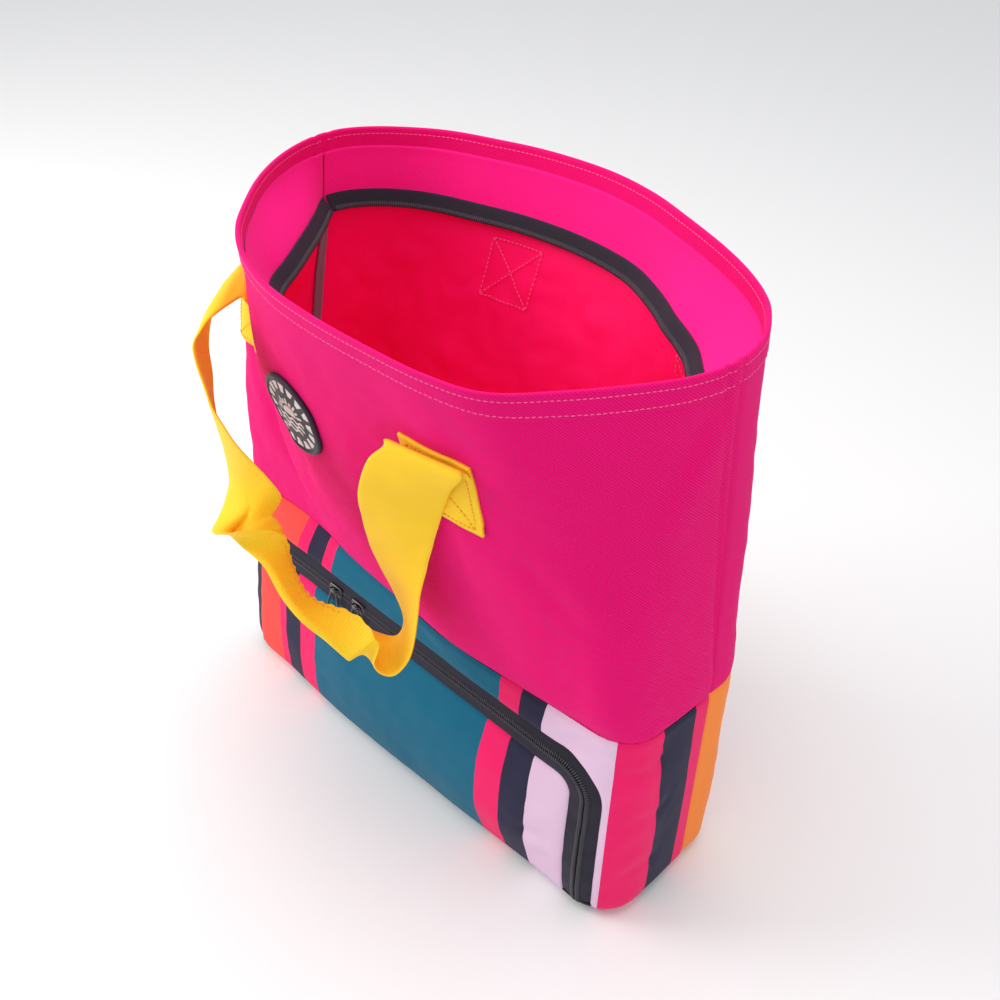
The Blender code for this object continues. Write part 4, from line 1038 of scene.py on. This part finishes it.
def liner():
    rows, uvs = [], []
    zs = np.linspace(0.0105, 0.2035, 48)
    for z in zs:
        fade = min(1, (z - 0.0105) / 0.02, (0.2035 - z) / 0.02)
        p = loop_points(z, -8.5 * MM, 1.1 * MM * fade)
        rows.append(p)
        uvs.append(np.stack([np.linspace(0, 1.0, len(p)), np.full(len(p), z)], -1))
    me = grid_mesh("cooler_liner_wall", rows, np.array(uvs), flip=False)
    wall = link("cooler_liner_wall", me, M_FOIL, "bag", ["cooler_liner"], shade=60)
    freeze(wall, thick(0.6 * MM, 1.0))
    # lip over the opening
    s = np.linspace(-0.236, 0.204, 110)
    rows, uvs = [], []
    for z in np.linspace(0.1800, 0.2035, 8):
        zz = np.full_like(s, z)
        rows.append(P(-1, s, zz, -8.2 * MM))
        uvs.append(np.stack([s, zz], -1))
    me = grid_mesh("cooler_liner_header", rows, np.array(uvs), flip=True)
    head = link("cooler_liner_header", me, M_FOIL, "bag", (), shade=60)
    freeze(head, thick(0.6 * MM))
    # floor and ceiling
    for nm, z, sgn in (("floor", 0.0110, 1), ("ceiling", 0.2030, -1)):
        n = 80
        fr = P(-1, (np.linspace(0.004, 0.996, n) - U_MID[-1]) * length(-1, z), z, -8.8 * MM)
        bk = P(1, (np.linspace(0.004, 0.996, n) - U_MID[1]) * length(1, z), z, -8.8 * MM)
        rows, uvs = [], []
        for f in np.linspace(0, 1, 26):
            row = fr * (1 - f) + bk * f
            row[:, 2] = z + sgn * (0.8 * MM * ripple(row[:, 0], row[:, 1], 51 + sgn, n=18, low=0.02, high=0.07) + 0.8 * MM)
            rows.append(row)
            uvs.append(row[:, :2])
        me = grid_mesh("cooler_liner_" + nm, rows, np.array(uvs), flip=sgn < 0)
        ob = link("cooler_liner_" + nm, me, M_FOIL, "bag",
                  ["cooler_base_foam"] if sgn > 0 else (), shade=60)
        freeze(ob, thick(0.6 * MM))


liner()


def base_sheet():
    n, rows, uvs = 110, [], []
    uf = np.linspace(0.0, 1.0, n)
    fr = P(-1, (uf - U_MID[-1]) * length(-1, 0.0), 0.0, 0.4 * MM)
    bk = P(1, (uf - U_MID[1]) * length(1, 0.0), 0.0, 0.4 * MM)
    for f in np.linspace(0, 1, 28):
        row = fr * (1 - f) + bk * f
        inside = smooth(min(f, 1 - f) / 0.06) * smooth(np.minimum(uf, 1 - uf) / 0.04)
        row[:, 2] = 0.0010 + 0.0012 * inside + 0.0003 * inside * ripple(row[:, 0], row[:, 1], 61)
        rows.append(row)
        uvs.append(row[:, :2])
    me = grid_mesh("base_cloth", rows, np.array(uvs))
    ob = link("base_cloth", me, M_BASE, "bag", ["cooler_base_panel"], shade=60)
    return freeze(ob, thick(1.0 * MM))


base_sheet()

for nm, mid in (("left", ZIP_LEFT), ("right", ZIP_RIGHT)):
    rows, uvs = [], []
    for z in np.linspace(0.0012, 0.0125, 10):
        s = np.linspace(mid - 0.0140, mid + 0.0140, 16)
        rise = 1.3 * MM * min(1, (0.0131 - z) / 0.0012)
        rows.append(P(-1, s, np.full_like(s, z), rise + 0.3 * MM * np.cos((s - mid) / 0.014 * 1.5)))
        uvs.append(np.stack([s, np.full_like(s, z)], -1))
    me = grid_mesh("zip_end_" + nm, rows, np.array(uvs))
    ob = link("zip_end_" + nm, me, M_TAPE, "bag", ["cooler_zip_end_" + nm], shade=60)
    freeze(ob, thick(1.3 * MM))

# ---------------------------------------------------------------- handles
STRAP_LEFT_S = -0.182
ROUTE = [   # centre x, y, z, across x, y, z, showing width, fold in degrees
    (0.106, -0.159, 0.469, 0.98, 0.18, 0, 1, 0),
    (0.09, -0.161, 0.441, 0.94, 0.33, -0.04, 1, 0),
    (0.071, -0.153, 0.402, 0.91, 0.41, 0, 1, 0),
    (0.055, -0.143, 0.355, 0.97, 0.16, 0.11, 1, 0),
    (0.047, -0.134, 0.311, 0.93, -0.12, 0.33, 1, 0),
    (0.048, -0.129, 0.281, 0.81, -0.33, 0.48, 1, 0),
    (0.056, -0.133, 0.259, 0.71, -0.45, 0.52, 1, 0),
    (0.059, -0.143, 0.245, 0.75, -0.51, 0.4, 0.95, 0),
    (0.053, -0.155, 0.239, 0.81, -0.55, 0.18, 0.88, 4),
    (0.043, -0.168, 0.242, 0.8, -0.59, 0.06, 0.76, 30),
    (0.033, -0.177, 0.253, 0.76, -0.64, 0.05, 0.6, 95),
    (0.02, -0.185, 0.266, 0.68, -0.71, 0.12, 0.52, 150),
    (0.005, -0.193, 0.276, 0.56, -0.76, 0.3, 0.5, 170),
    (-0.012, -0.196, 0.288, 0.45, -0.78, 0.42, 0.5, 175),
    (-0.034, -0.193, 0.308, 0.28, -0.88, 0.35, 0.52, 172),
    (-0.053, -0.19, 0.326, -0.28, -0.88, -0.2, 0.66, 120),
    (-0.067, -0.187, 0.341, -0.68, -0.3, -0.62, 0.92, 30),
    (-0.084, -0.184, 0.359, -0.73, 0.08, -0.66, 1, 0),
    (-0.103, -0.183, 0.381, -0.71, 0.32, -0.62, 1, 0),
    (-0.12, -0.181, 0.401, -0.69, 0.43, -0.57, 1, 0),
    (-0.133, -0.176, 0.422, -0.66, 0.54, -0.53, 1, 0),
    (-0.146, -0.17, 0.445, -0.66, 0.6, -0.44, 1, 0),
    (-0.151, -0.159, 0.463, -0.72, 0.62, -0.28, 1, 0),
    (-0.15, -0.143, 0.474, -0.74, 0.64, -0.12, 1, 0),
    (-0.147, -0.127, 0.472, -0.75, 0.66, 0, 1, 0),
]
PER = 10


def turned(p, on):
    """Half a turn about Z for the back handle."""
    p = np.asarray(p, float)
    return p * np.array([-1, -1, 1.0]) if on else p


def handle(nm, body):
    back = nm == "back"
    sd = 1 if back else -1
    rows = [np.array(r, float) for r in (ROUTE[1:-3] if not back else ROUTE[1:-1])]
    if not back:
        rows += [np.array((-0.155, -0.156, 0.4620, -0.72, 0.64, -0.24, 1.0, 0)),
                 np.array((-0.164, -0.136, 0.4700, -0.73, 0.67, -0.10, 1.0, 0))]
    else:
        rows = [np.r_[-r[0], -r[1], r[2], -r[3], -r[4], r[5], r[6:]] for r in rows]
    s_r, s_l = (0.110, STRAP_LEFT_S) if not back else (-0.110, 0.147)

    def wall(s, z, off, a):
        return np.r_[P(sd, s, z, off), a, 0.0, 1.0, 0.0]

    sg = -1 if back else 1
    a0, a1 = np.array([0.98, 0.18]) * sg, np.array([-0.75, 0.66]) * sg
    pre = [wall(s_r, 0.4545, 5.4 * MM, a0), wall(s_r, 0.4615, 6.6 * MM, a0), wall(s_r, 0.4652, 10.5 * MM, a0),
           wall(s_r, 0.4600, 14.0 * MM, a0)]
    post = [wall(s_l, 0.4700, 12.0 * MM, a1), wall(s_l, 0.4660, 7.0 * MM, a1), wall(s_l, 0.4550, 5.2 * MM, a1)]
    pth = catmull(pre + rows + post, PER)
    c, a = pth[:, :3], pth[:, 3:6]
    tan = np.gradient(c, axis=0)
    tan /= np.linalg.norm(tan, axis=1, keepdims=True)
    a /= np.linalg.norm(a, axis=1, keepdims=True)
    n = np.cross(tan, a)
    n /= np.linalg.norm(n, axis=1, keepdims=True)
    th, fac = np.radians(np.clip(pth[:, 7], 0, 176)), np.clip(pth[:, 6], 0.5, 1.0)
    acc = np.r_[0, np.cumsum(np.linalg.norm(np.diff(c, axis=0), axis=1))]
    w = np.array([-32.5, -31.2, -28.5, -24, -18, -12, -7, -3.5, -1.2, 0.4, 1.6, 2.8, 4.0, 5.2, 6.6, 8.6,
                  12, 18, 24, 28.5, 31.2, 32.5]) * MM
    r = 2.3 * MM
    reach = np.maximum(r, r * np.sin(np.minimum(th, math.pi / 2)) + (32.5 * MM - r * th) * np.cos(th))
    shift = 32.5 * MM * fac - reach
    flip = 1.0
    verts, uvs = [], []
    k = len(w)
    rng = ripple(acc, np.zeros_like(acc), 77, n=12, low=0.025, high=0.08)
    rng2 = ripple(acc, np.zeros_like(acc), 78, n=12, low=0.025, high=0.08)
    lines = {}
    for i in range(len(c)):
        arc = np.clip(w, 0, r * th[i])
        phi = arc / r
        x = shift[i] + np.where(w > 0, r * np.sin(phi), w)
        y = np.where(w > 0, r * (1 - np.cos(phi)), 0)
        rest = np.clip(w - r * th[i], 0, None) * (w > 0)
        x = x + rest * math.cos(th[i])
        y = y + rest * math.sin(th[i])
        mx, my = -np.sin(phi), np.cos(phi)
        fold = smooth((th[i] - 0.6) / 1.6)
        edge = np.exp(-((32.5 * MM - np.abs(w)) / (7 * MM)) ** 2)
        puck = fold * 0.9 * MM * edge * math.sin(acc[i] * 2 * math.pi / 0.0085)
        soft = 0.5 * MM * (rng[i] * np.sin(w / 0.0325 * 1.5) + rng2[i] * np.cos(w / 0.0325 * 2.2)) * (1 - 0.6 * fold)
        cup = -1.6 * MM * (w / 0.0325) ** 2 * (1 - fold) * math.sin(min(1.0, acc[i] / 0.05) * math.pi / 2)
        y = y + puck + soft + cup
        pos = c[i] + x[:, None] * a[i] + (flip * y)[:, None] * n[i]
        nor = mx[:, None] * a[i] + (flip * my)[:, None] * n[i]
        dr = np.cos(phi)[:, None] * a[i] + (flip * np.sin(phi))[:, None] * n[i]
        half = 1.15 * MM * np.where(np.abs(w) > 32 * MM, 0.75, 1.0)
        top = pos + nor * half[:, None]
        bot = pos - nor * half[:, None]
        e0 = pos[0] - dr[0] * 0.9 * MM
        e1 = pos[-1] + dr[-1] * 0.9 * MM
        loop = np.concatenate([top, [e1], bot[::-1], [e0]])
        verts.append(loop)
        v = np.r_[w, 0.0333, w[::-1], -0.0333]
        uvs.append(np.stack([np.full_like(v, acc[i]), v], -1))
        lines.setdefault("a", []).append((bot[2] - nor[2] * 0.0001, -nor[2]))
        lines.setdefault("b", []).append((bot[-3] - nor[-3] * 0.0001, -nor[-3]))
        lines.setdefault("c", []).append((top[2] + nor[2] * 0.0001, nor[2]))
    m = 2 * k + 2
    nst = len(verts)
    faces = []
    for i in range(nst - 1):
        for j in range(m):
            j2 = (j + 1) % m
            faces.append((i * m + j, i * m + j2, (i + 1) * m + j2, (i + 1) * m + j))
    faces.append(tuple(range(m))[::-1])
    faces.append(tuple((nst - 1) * m + j for j in range(m)))
    me = mesh_from("handle_" + nm, np.concatenate(verts), faces, np.concatenate(uvs))
    bm = bmesh.new()
    bm.from_mesh(me)
    bmesh.ops.recalc_face_normals(bm, faces=bm.faces)
    bm.to_mesh(me)
    bm.free()
    ob = link("handle_" + nm, me, M_WEB, None,
              ["handle_%s_%s" % (nm, x) for x in ("strap_left", "strap_right", "grip")], shade=70)
    y = 0.168 * sd
    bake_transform(ob)
    # thread along the folded grip
    i0, i1 = 3 * PER + 11 * PER, 3 * PER + 14 * PER + 5
    for key in ("a", "b"):
        pp = np.array([q[0] for q in lines[key][i0:i1]])
        nnn = np.array([q[1] for q in lines[key][i0:i1]])
        stitches("grip_stitch_%s_%s" % (nm, key), pp, nnn, M_THREAD_Y, body, pitch=0.0046)
    return ob, float(acc[-1])


STRAP = {}
for nm, body in (("front", "front_handle"), ("back", "back_handle")):
    STRAP[nm] = handle(nm, body)


def anchor(nm, side, which, s0):
    zs = np.linspace(ANCHOR_Z[0], ANCHOR_Z[1] + 0.001, 26)
    s = np.r_[s0 - 0.0325, np.linspace(s0 - 0.0318, s0 + 0.0318, 24), s0 + 0.0325]
    rows, uvs = [], []
    for z in zs:
        zz = np.full_like(s, z)
        low = 1.0 * MM * (1 - smooth((z - 0.4085) / 0.0014)) * smooth((z - 0.3985) / 0.0009)
        rows.append(P(side, s, zz, 2.5 * MM + low + 0.15 * MM * ripple(s, zz, 81, low=0.012, high=0.03)))
        uvs.append(np.stack([zz, s], -1))
    me = grid_mesh("anchor_%s_%s" % (nm, which), rows, np.array(uvs), flip=(side > 0))
    ob = link("anchor_%s_%s" % (nm, which), me, M_WEB, "bag",
              ["handle_%s_anchor_%s" % (nm, which)], shade=60)
    freeze(ob, thick(2.4 * MM))
    a, b = 0.0265, 0.0045
    z0, z1 = ANCHOR_Z[0] + b, ANCHOR_Z[1] - b
    runs = [((s0 - a, z0), (s0 + a, z0)), ((s0 + a, z0), (s0 + a, z1)), ((s0 + a, z1), (s0 - a, z1)),
            ((s0 - a, z1), (s0 - a, z0)), ((s0 - a, z0), (s0 + a, z1)), ((s0 - a, z1), (s0 + a, z0))]
    pp, nn = [], []
    cen, al, ac, no = [], [], [], []
    for p0, p1 in runs:
        ln = math.hypot(p1[0] - p0[0], p1[1] - p0[1])
        n = int(ln / 0.0036)
        f = (np.arange(n) + 0.5) / n
        ss, zz = p0[0] + (p1[0] - p0[0]) * f, p0[1] + (p1[1] - p0[1]) * f
        o = (2.75 + 1.0 * (zz < 0.4085)) * MM
        p = P(side, ss, zz, o)
        q = P(side, ss + (p1[0] - p0[0]) * 0.002 / ln, zz + (p1[1] - p0[1]) * 0.002 / ln, o)
        nr = P(side, ss, zz, o + 0.002) - p
        t = (q - p) / np.linalg.norm(q - p, axis=1, keepdims=True)
        nr /= np.linalg.norm(nr, axis=1, keepdims=True)
        cen.append(p)
        al.append(t)
        no.append(nr)
        ac.append(np.cross(nr, t))
    beads("anchor_stitch_%s_%s" % (nm, which), np.concatenate(cen), np.concatenate(al), np.concatenate(ac),
          np.concatenate(no), (0.0013, 0.00042, 0.0004), M_THREAD_Y, "bag")


for nm, sd in (("front", -1), ("back", 1)):
    xs = {w_: (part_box("handle_%s_anchor_%s" % (nm, w_))[0][0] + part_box("handle_%s_anchor_%s" % (nm, w_))[1][0]) / 2
          for w_ in ("left", "right")}
    for w_, x in xs.items():
        s0 = min(ANCHOR_S[nm], key=lambda v: abs(v - x))
        if nm == "front" and s0 < 0:
            s0 = STRAP_LEFT_S
        anchor(nm, sd, w_, s0)


# ---------------------------------------------------------------- badge
def badge():
    prof = [(0.0, 2.5), (0.006, 2.5), (0.012, 2.5), (0.018, 2.5), (0.024, 2.5), (0.029, 2.5), (0.0325, 2.5),
            (0.0331, 2.7), (0.0335, 3.3), (0.0341, 3.6), (0.0353, 3.6), (0.0362, 3.3), (0.0368, 2.6),
            (0.0370, 1.6), (0.0370, 0.2), (0.0366, -0.4)]
    th = np.linspace(0, 2 * math.pi, 97)[:-1]
    rows, uvs = [], []
    for r, h in prof[1:]:
        s, z = BADGE_S + r * np.cos(th), BADGE_Z + r * np.sin(th)
        rows.append(P(-1, s, z, (h + 0.8) * MM))
        uvs.append(np.stack([s, z], -1))
    r_, c_ = len(rows), len(th)
    pts = np.concatenate([np.array(rows).reshape(-1, 3), P(-1, np.array([BADGE_S]), np.array([BADGE_Z]), 3.3 * MM)])
    faces = []
    for j in range(r_ - 1):
        for i in range(c_):
            k = (i + 1) % c_
            faces.append((j * c_ + i, (j + 1) * c_ + i, (j + 1) * c_ + k, j * c_ + k))
    for i in range(c_):
        faces.append((r_ * c_, i, (i + 1) % c_))
    me = mesh_from("badge", pts, faces, np.concatenate([np.array(uvs).reshape(-1, 2), [[BADGE_S, BADGE_Z]]]))
    bm = bmesh.new()
    bm.from_mesh(me)
    bmesh.ops.recalc_face_normals(bm, faces=bm.faces)
    bm.normal_update()
    c = bm.faces[-1]
    c.normal_update()
    if sum(f.normal.y * f.calc_area() for f in bm.faces) > 0:
        bmesh.ops.reverse_faces(bm, faces=bm.faces)
    bm.to_mesh(me)
    bm.free()
    link("badge", me, M_RUBBER, "bag", ["badge_base"], shade=50)

    def on_badge(x, z, h):
        return P(-1, BADGE_S + np.asarray(x), BADGE_Z + np.asarray(z), (h + 0.8) * MM)

    # ring of ticks, sun and waves
    strips = []
    for k in range(16):         # ring of even wedges
        q = np.linspace(-0.135, 0.135, 7) + k * math.pi / 8 + 0.06
        tip = 0.0225 + 0.0012 * (k % 2)
        strips.append((tip * np.cos(q * 0.55 + 0.45 * (k * math.pi / 8 + 0.06)), tip * np.sin(q * 0.55 + 0.45 * (k * math.pi / 8 + 0.06)),
                       0.0308 * np.cos(q), 0.0308 * np.sin(q)))
    for k, y0 in enumerate((-0.0035, -0.0085, -0.0132)):
        half = (0.0165, 0.0155, 0.0115)[k]
        x = np.linspace(-half, half, 90)
        y = y0 + 0.0013 * np.sin(x * 2 * math.pi / 0.0105 + k * 1.7)
        strips.append((x, y - 0.0013, x, y + 0.0013))
    a = np.linspace(0.06, math.pi - 0.06, 60)
    strips.append((0.0001 * np.cos(a), 0.0007 + 0.0001 * np.sin(a), 0.0085 * np.cos(a), 0.0007 + 0.0085 * np.sin(a)))
    for k in range(9):
        ang = math.radians(12 + k * 156 / 8)
        rr = np.linspace(0.0106, 0.0150 if k % 2 else 0.0170, 8)
        wd = np.linspace(0.0014, 0.0009, 8)
        cx, cy = rr * math.cos(ang), 0.0005 + rr * math.sin(ang)
        strips.append((cx + wd * math.sin(ang), cy - wd * math.cos(ang), cx - wd * math.sin(ang), cy + wd * math.cos(ang)))
    verts, faces, uv = [], [], []
    for x0, y0, x1, y1 in strips:
        base = sum(len(v) for v in verts)
        n = len(x0)
        for xx, yy, h in ((x0, y0, 2.55), (x0, y0, 2.95), (x1, y1, 2.95), (x1, y1, 2.55)):
            verts.append(on_badge(xx, yy, h))
            uv.append(np.stack([xx, yy], -1))
        for j in range(3):
            for i in range(n - 1):
                faces.append((base + j * n + i, base + j * n + i + 1, base + (j + 1) * n + i + 1, base + (j + 1) * n + i))
        faces.append((base, base + n, base + 2 * n, base + 3 * n))
        faces.append((base + n - 1, base + 4 * n - 1, base + 3 * n - 1, base + 2 * n - 1))
        for i in range(n - 1):
            faces.append((base + 3 * n + i, base + 3 * n + i + 1, base + i + 1, base + i))
    me = mesh_from("badge_motif", np.concatenate(verts), faces, np.concatenate(uv))
    bm = bmesh.new()
    bm.from_mesh(me)
    bmesh.ops.recalc_face_normals(bm, faces=bm.faces)
    bm.to_mesh(me)
    bm.free()
    link("badge_motif", me, M_WHITE, "bag", ["badge_relief"], shade=40)


badge()


# ---------------------------------------------------------------- sliders
def block(name, lo, hi, bevel, mat, body, nodes=(), rot=None):
    bm = bmesh.new()
    bmesh.ops.create_cube(bm, size=1.0)
    lo, hi = Vector(lo), Vector(hi)
    bmesh.ops.scale(bm, vec=hi - lo, verts=bm.verts)
    bmesh.ops.bevel(bm, geom=list(bm.edges), offset=bevel, segments=3, affect="EDGES", profile=0.5)
    if rot is not None:
        bmesh.ops.transform(bm, matrix=rot, verts=bm.verts)
    bmesh.ops.translate(bm, vec=(lo + hi) / 2, verts=bm.verts)
    me = bpy.data.meshes.new(name)
    bm.to_mesh(me)
    bm.free()
    me.uv_layers.new(name="UVMap")
    return link(name, me, mat, body, nodes, shade=35)


def tube(name, path, r, mat, body, nodes=(), closed=False, flat=1.0, up=(0, 1, 0), sides=10):
    p = np.asarray(path, float)
    n = len(p)
    if closed:
        t = np.roll(p, -1, 0) - np.roll(p, 1, 0)
    else:
        t = np.gradient(p, axis=0)
    t /= np.linalg.norm(t, axis=1, keepdims=True)
    up = np.broadcast_to(np.asarray(up, float), p.shape)
    b = np.cross(t, up)
    b /= np.linalg.norm(b, axis=1, keepdims=True)
    c = np.cross(b, t)
    rows, uvs = [], []
    for i in range(n):
        a = np.arange(sides) * 2 * math.pi / sides
        rows.append(p[i] + np.cos(a)[:, None] * b[i] * r + np.sin(a)[:, None] * c[i] * r * flat)
        uvs.append(np.stack([a * 0.001, np.full(sides, i * 0.001)], -1))
    faces = []
    for i in range(n if closed else n - 1):
        i2 = (i + 1) % n
        for j in range(sides):
            j2 = (j + 1) % sides
            faces.append((i * sides + j, i * sides + j2, i2 * sides + j2, i2 * sides + j))
    if not closed:
        faces.append(tuple(range(sides))[::-1])
        faces.append(tuple((n - 1) * sides + j for j in range(sides)))
    me = mesh_from(name, np.concatenate(rows), faces, np.concatenate(uvs))
    bm = bmesh.new()
    bm.from_mesh(me)
    bmesh.ops.recalc_face_normals(bm, faces=bm.faces)
    bm.to_mesh(me)
    bm.free()
    return link(name, me, mat, body, nodes, shade=60)


def pull_loop(width, height, r_top, n=10):
    """Outline of a pull: narrow at the top, broad and rounded below; x across, d down."""
    pts = []
    a, w2 = r_top, width / 2
    for t in np.linspace(math.pi, 0, n):
        pts.append((a * math.cos(t), a - a * math.sin(t)))
    rb = w2 * 0.85
    for t in np.linspace(0, math.pi, 2 * n):
        pts.append((w2 * math.cos(t), height - rb + rb * math.sin(t)))
    out = []
    pts = np.array(pts)
    seg = np.linalg.norm(np.roll(pts, -1, 0) - pts, axis=1)
    acc = np.r_[0, np.cumsum(seg)]
    at = np.linspace(0, acc[-1], 72, endpoint=False)
    loop = np.vstack([pts, pts[:1]])
    out = np.stack([np.interp(at, acc, loop[:, 0]), np.interp(at, acc, loop[:, 1])], -1)
    for _ in range(3):
        out = (np.roll(out, 1, 0) + 2 * out + np.roll(out, -1, 0)) / 4
    return out


for nm, turn in (("left", 1), ("right", -1)):
    x = SLIDER_X[nm]
    ys = float(P(-1, np.array([x]), np.array([ZIP_Z]), 0.0)[0, 1])
    zb = ZIP_Z
    body = "slider_" + nm
    block("slider_body_" + nm, (x - 0.0085, ys - 0.0031, zb - 0.0058), (x + 0.0085, ys + 0.0002, zb + 0.0062),
          0.0015, M_METAL, body, ["cooler_slider_" + nm])
    block("slider_nose_" + nm, (x - 0.0098 if turn > 0 else x + 0.0030, ys - 0.0026, zb - 0.0036),
          (x - 0.0030 if turn > 0 else x + 0.0098, ys + 0.0001, zb + 0.0042), 0.0011, M_METAL, body)
    t = np.linspace(0, math.pi, 14)
    arch = np.stack([x - 0.0062 * np.cos(t), ys - 0.0028 - 0.0029 * np.sin(t), np.full_like(t, zb + 0.0010)], -1)
    tube("slider_bridge_" + nm, arch, 0.0011, M_METAL, body, up=(0, 0, 1), flat=1.4)
    pin = np.array([x, -0.0886, 0.1740])
    low = float(P(-1, np.array([x]), np.array([0.1515]), 0.0)[0, 1]) - 0.0036
    slope = min(0.0, (low - pin[1]) / 0.0225)
    lp = pull_loop(0.0148, 0.0250, 0.0030)
    drop = np.array([0, slope, -1.0])
    drop /= np.linalg.norm(drop)
    path = pin + lp[:, :1] * np.array([1.0, 0, 0]) + lp[:, 1:] * drop
    nrm = np.cross(np.array([1.0, 0, 0]), drop)
    tube("puller_" + nm, path, 0.0012, M_METAL, "puller_" + nm, ["cooler_puller_" + nm],
         closed=True, up=nrm, flat=0.85)

lo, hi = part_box("top_zip_slider")
block("top_slider_body", (lo.x - 0.0010, lo.y - 0.0010, lo.z + 0.0008), (hi.x, hi.y + 0.0010, hi.z + 0.0004), 0.0016, M_METAL,
      "bag", ["top_zip_slider"])
block("top_slider_cap", (lo.x + 0.0016, lo.y + 0.0014, hi.z - 0.0004), (hi.x - 0.0016, hi.y - 0.0014, hi.z + 0.0022),
      0.0009, M_METAL, "bag")
lo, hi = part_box("top_zip_puller")
pin = np.array([0.21985, -0.00648, hi.z])
lp = pull_loop(0.0110, hi.z - lo.z - 0.001, 0.0022)
path = pin - np.array([0, 0, 0.0008]) + lp[:, :1] * np.array([0, 1.0, 0]) + lp[:, 1:] * np.array([0, 0, -1.0])
tube("top_puller", path, 0.0011, M_METAL, "top_puller", ["top_zip_puller"], closed=True,
     up=(1, 0, 0), flat=0.85)


FLATS = (("tote_front", 0.72, 0.355, False), ("tote_back", 0.65, 0.355, False),
         ("facing_front", 0.69, 0.065, True), ("facing_back", 0.63, 0.065, True),
         ("lining_front", 0.69, 0.300, True), ("lining_back", 0.63, 0.300, True))
for nm, w_, l_, both in FLATS:
    ob = bpy.data.objects[nm]

# ---------------------------------------------------------------- stage
floor = bpy.data.meshes.new("floor")
floor.from_pydata([(-40, -40, -0.0015), (40, -40, -0.0015), (40, 40, -0.0015), (-40, 40, -0.0015)], [], [(0, 1, 2, 3)])
floor_ob = bpy.data.objects.new("floor", floor)
bpy.context.scene.collection.objects.link(floor_ob)
fm = bpy.data.materials.new("floor")
fm.use_nodes = True
fm.node_tree.nodes["Principled BSDF"].inputs["Base Color"].default_value = (0.86, 0.86, 0.86, 1)
fm.node_tree.nodes["Principled BSDF"].inputs["Roughness"].default_value = 0.7
floor.materials.append(fm)

world = bpy.data.worlds.new("soft")
bpy.context.scene.world = world
world.use_nodes = True
bg = world.node_tree.nodes["Background"]
bg.inputs[0].default_value = (0.97, 0.98, 1.0, 1)
bg.inputs[1].default_value = 0.72


def lamp(name, at, size, power, colour=(1, 1, 1), aim=(0, 0, 0.28)):
    data = bpy.data.lights.new(name, "AREA")
    data.shape = "SQUARE"
    data.size = size
    data.energy = power
    data.color = colour
    ob = bpy.data.objects.new(name, data)
    bpy.context.scene.collection.objects.link(ob)
    ob.location = at
    ob.rotation_euler = (Vector(aim) - Vector(at)).to_track_quat("-Z", "Y").to_euler()
    return ob


lamp("key", (-1.45, -1.05, 1.30), 1.1, 25, (1.0, 0.98, 0.96))
lamp("fill", (1.6, -0.7, 0.9), 1.4, 3.0, (0.95, 0.97, 1.0))
lamp("top", (0.0, 0.1, 2.1), 1.6, 17)

cam = bpy.data.cameras.new("camera")
cam.sensor_width = 36
cam.lens = 46.8
cam_ob = bpy.data.objects.new("camera", cam)
bpy.context.scene.collection.objects.link(cam_ob)
AZ, EL, ROLL = math.radians(43.684), math.radians(37.276), math.radians(2.382)
back = Vector((math.sin(AZ) * math.cos(EL), -math.cos(AZ) * math.cos(EL), math.sin(EL)))
right = (-back).cross(Vector((0, 0, 1))).normalized()
up = right.cross(-back)
r2 = right * math.cos(ROLL) + up * math.sin(ROLL)
u2 = -right * math.sin(ROLL) + up * math.cos(ROLL)
m = Matrix((r2, u2, back)).transposed().to_4x4()
m.translation = Vector((0.63819094, -0.64107548, 0.97707259))
cam_ob.matrix_world = m
bpy.context.scene.camera = cam_ob
bpy.context.scene.view_settings.view_transform = "Standard"

bpy.context.view_layer.update()
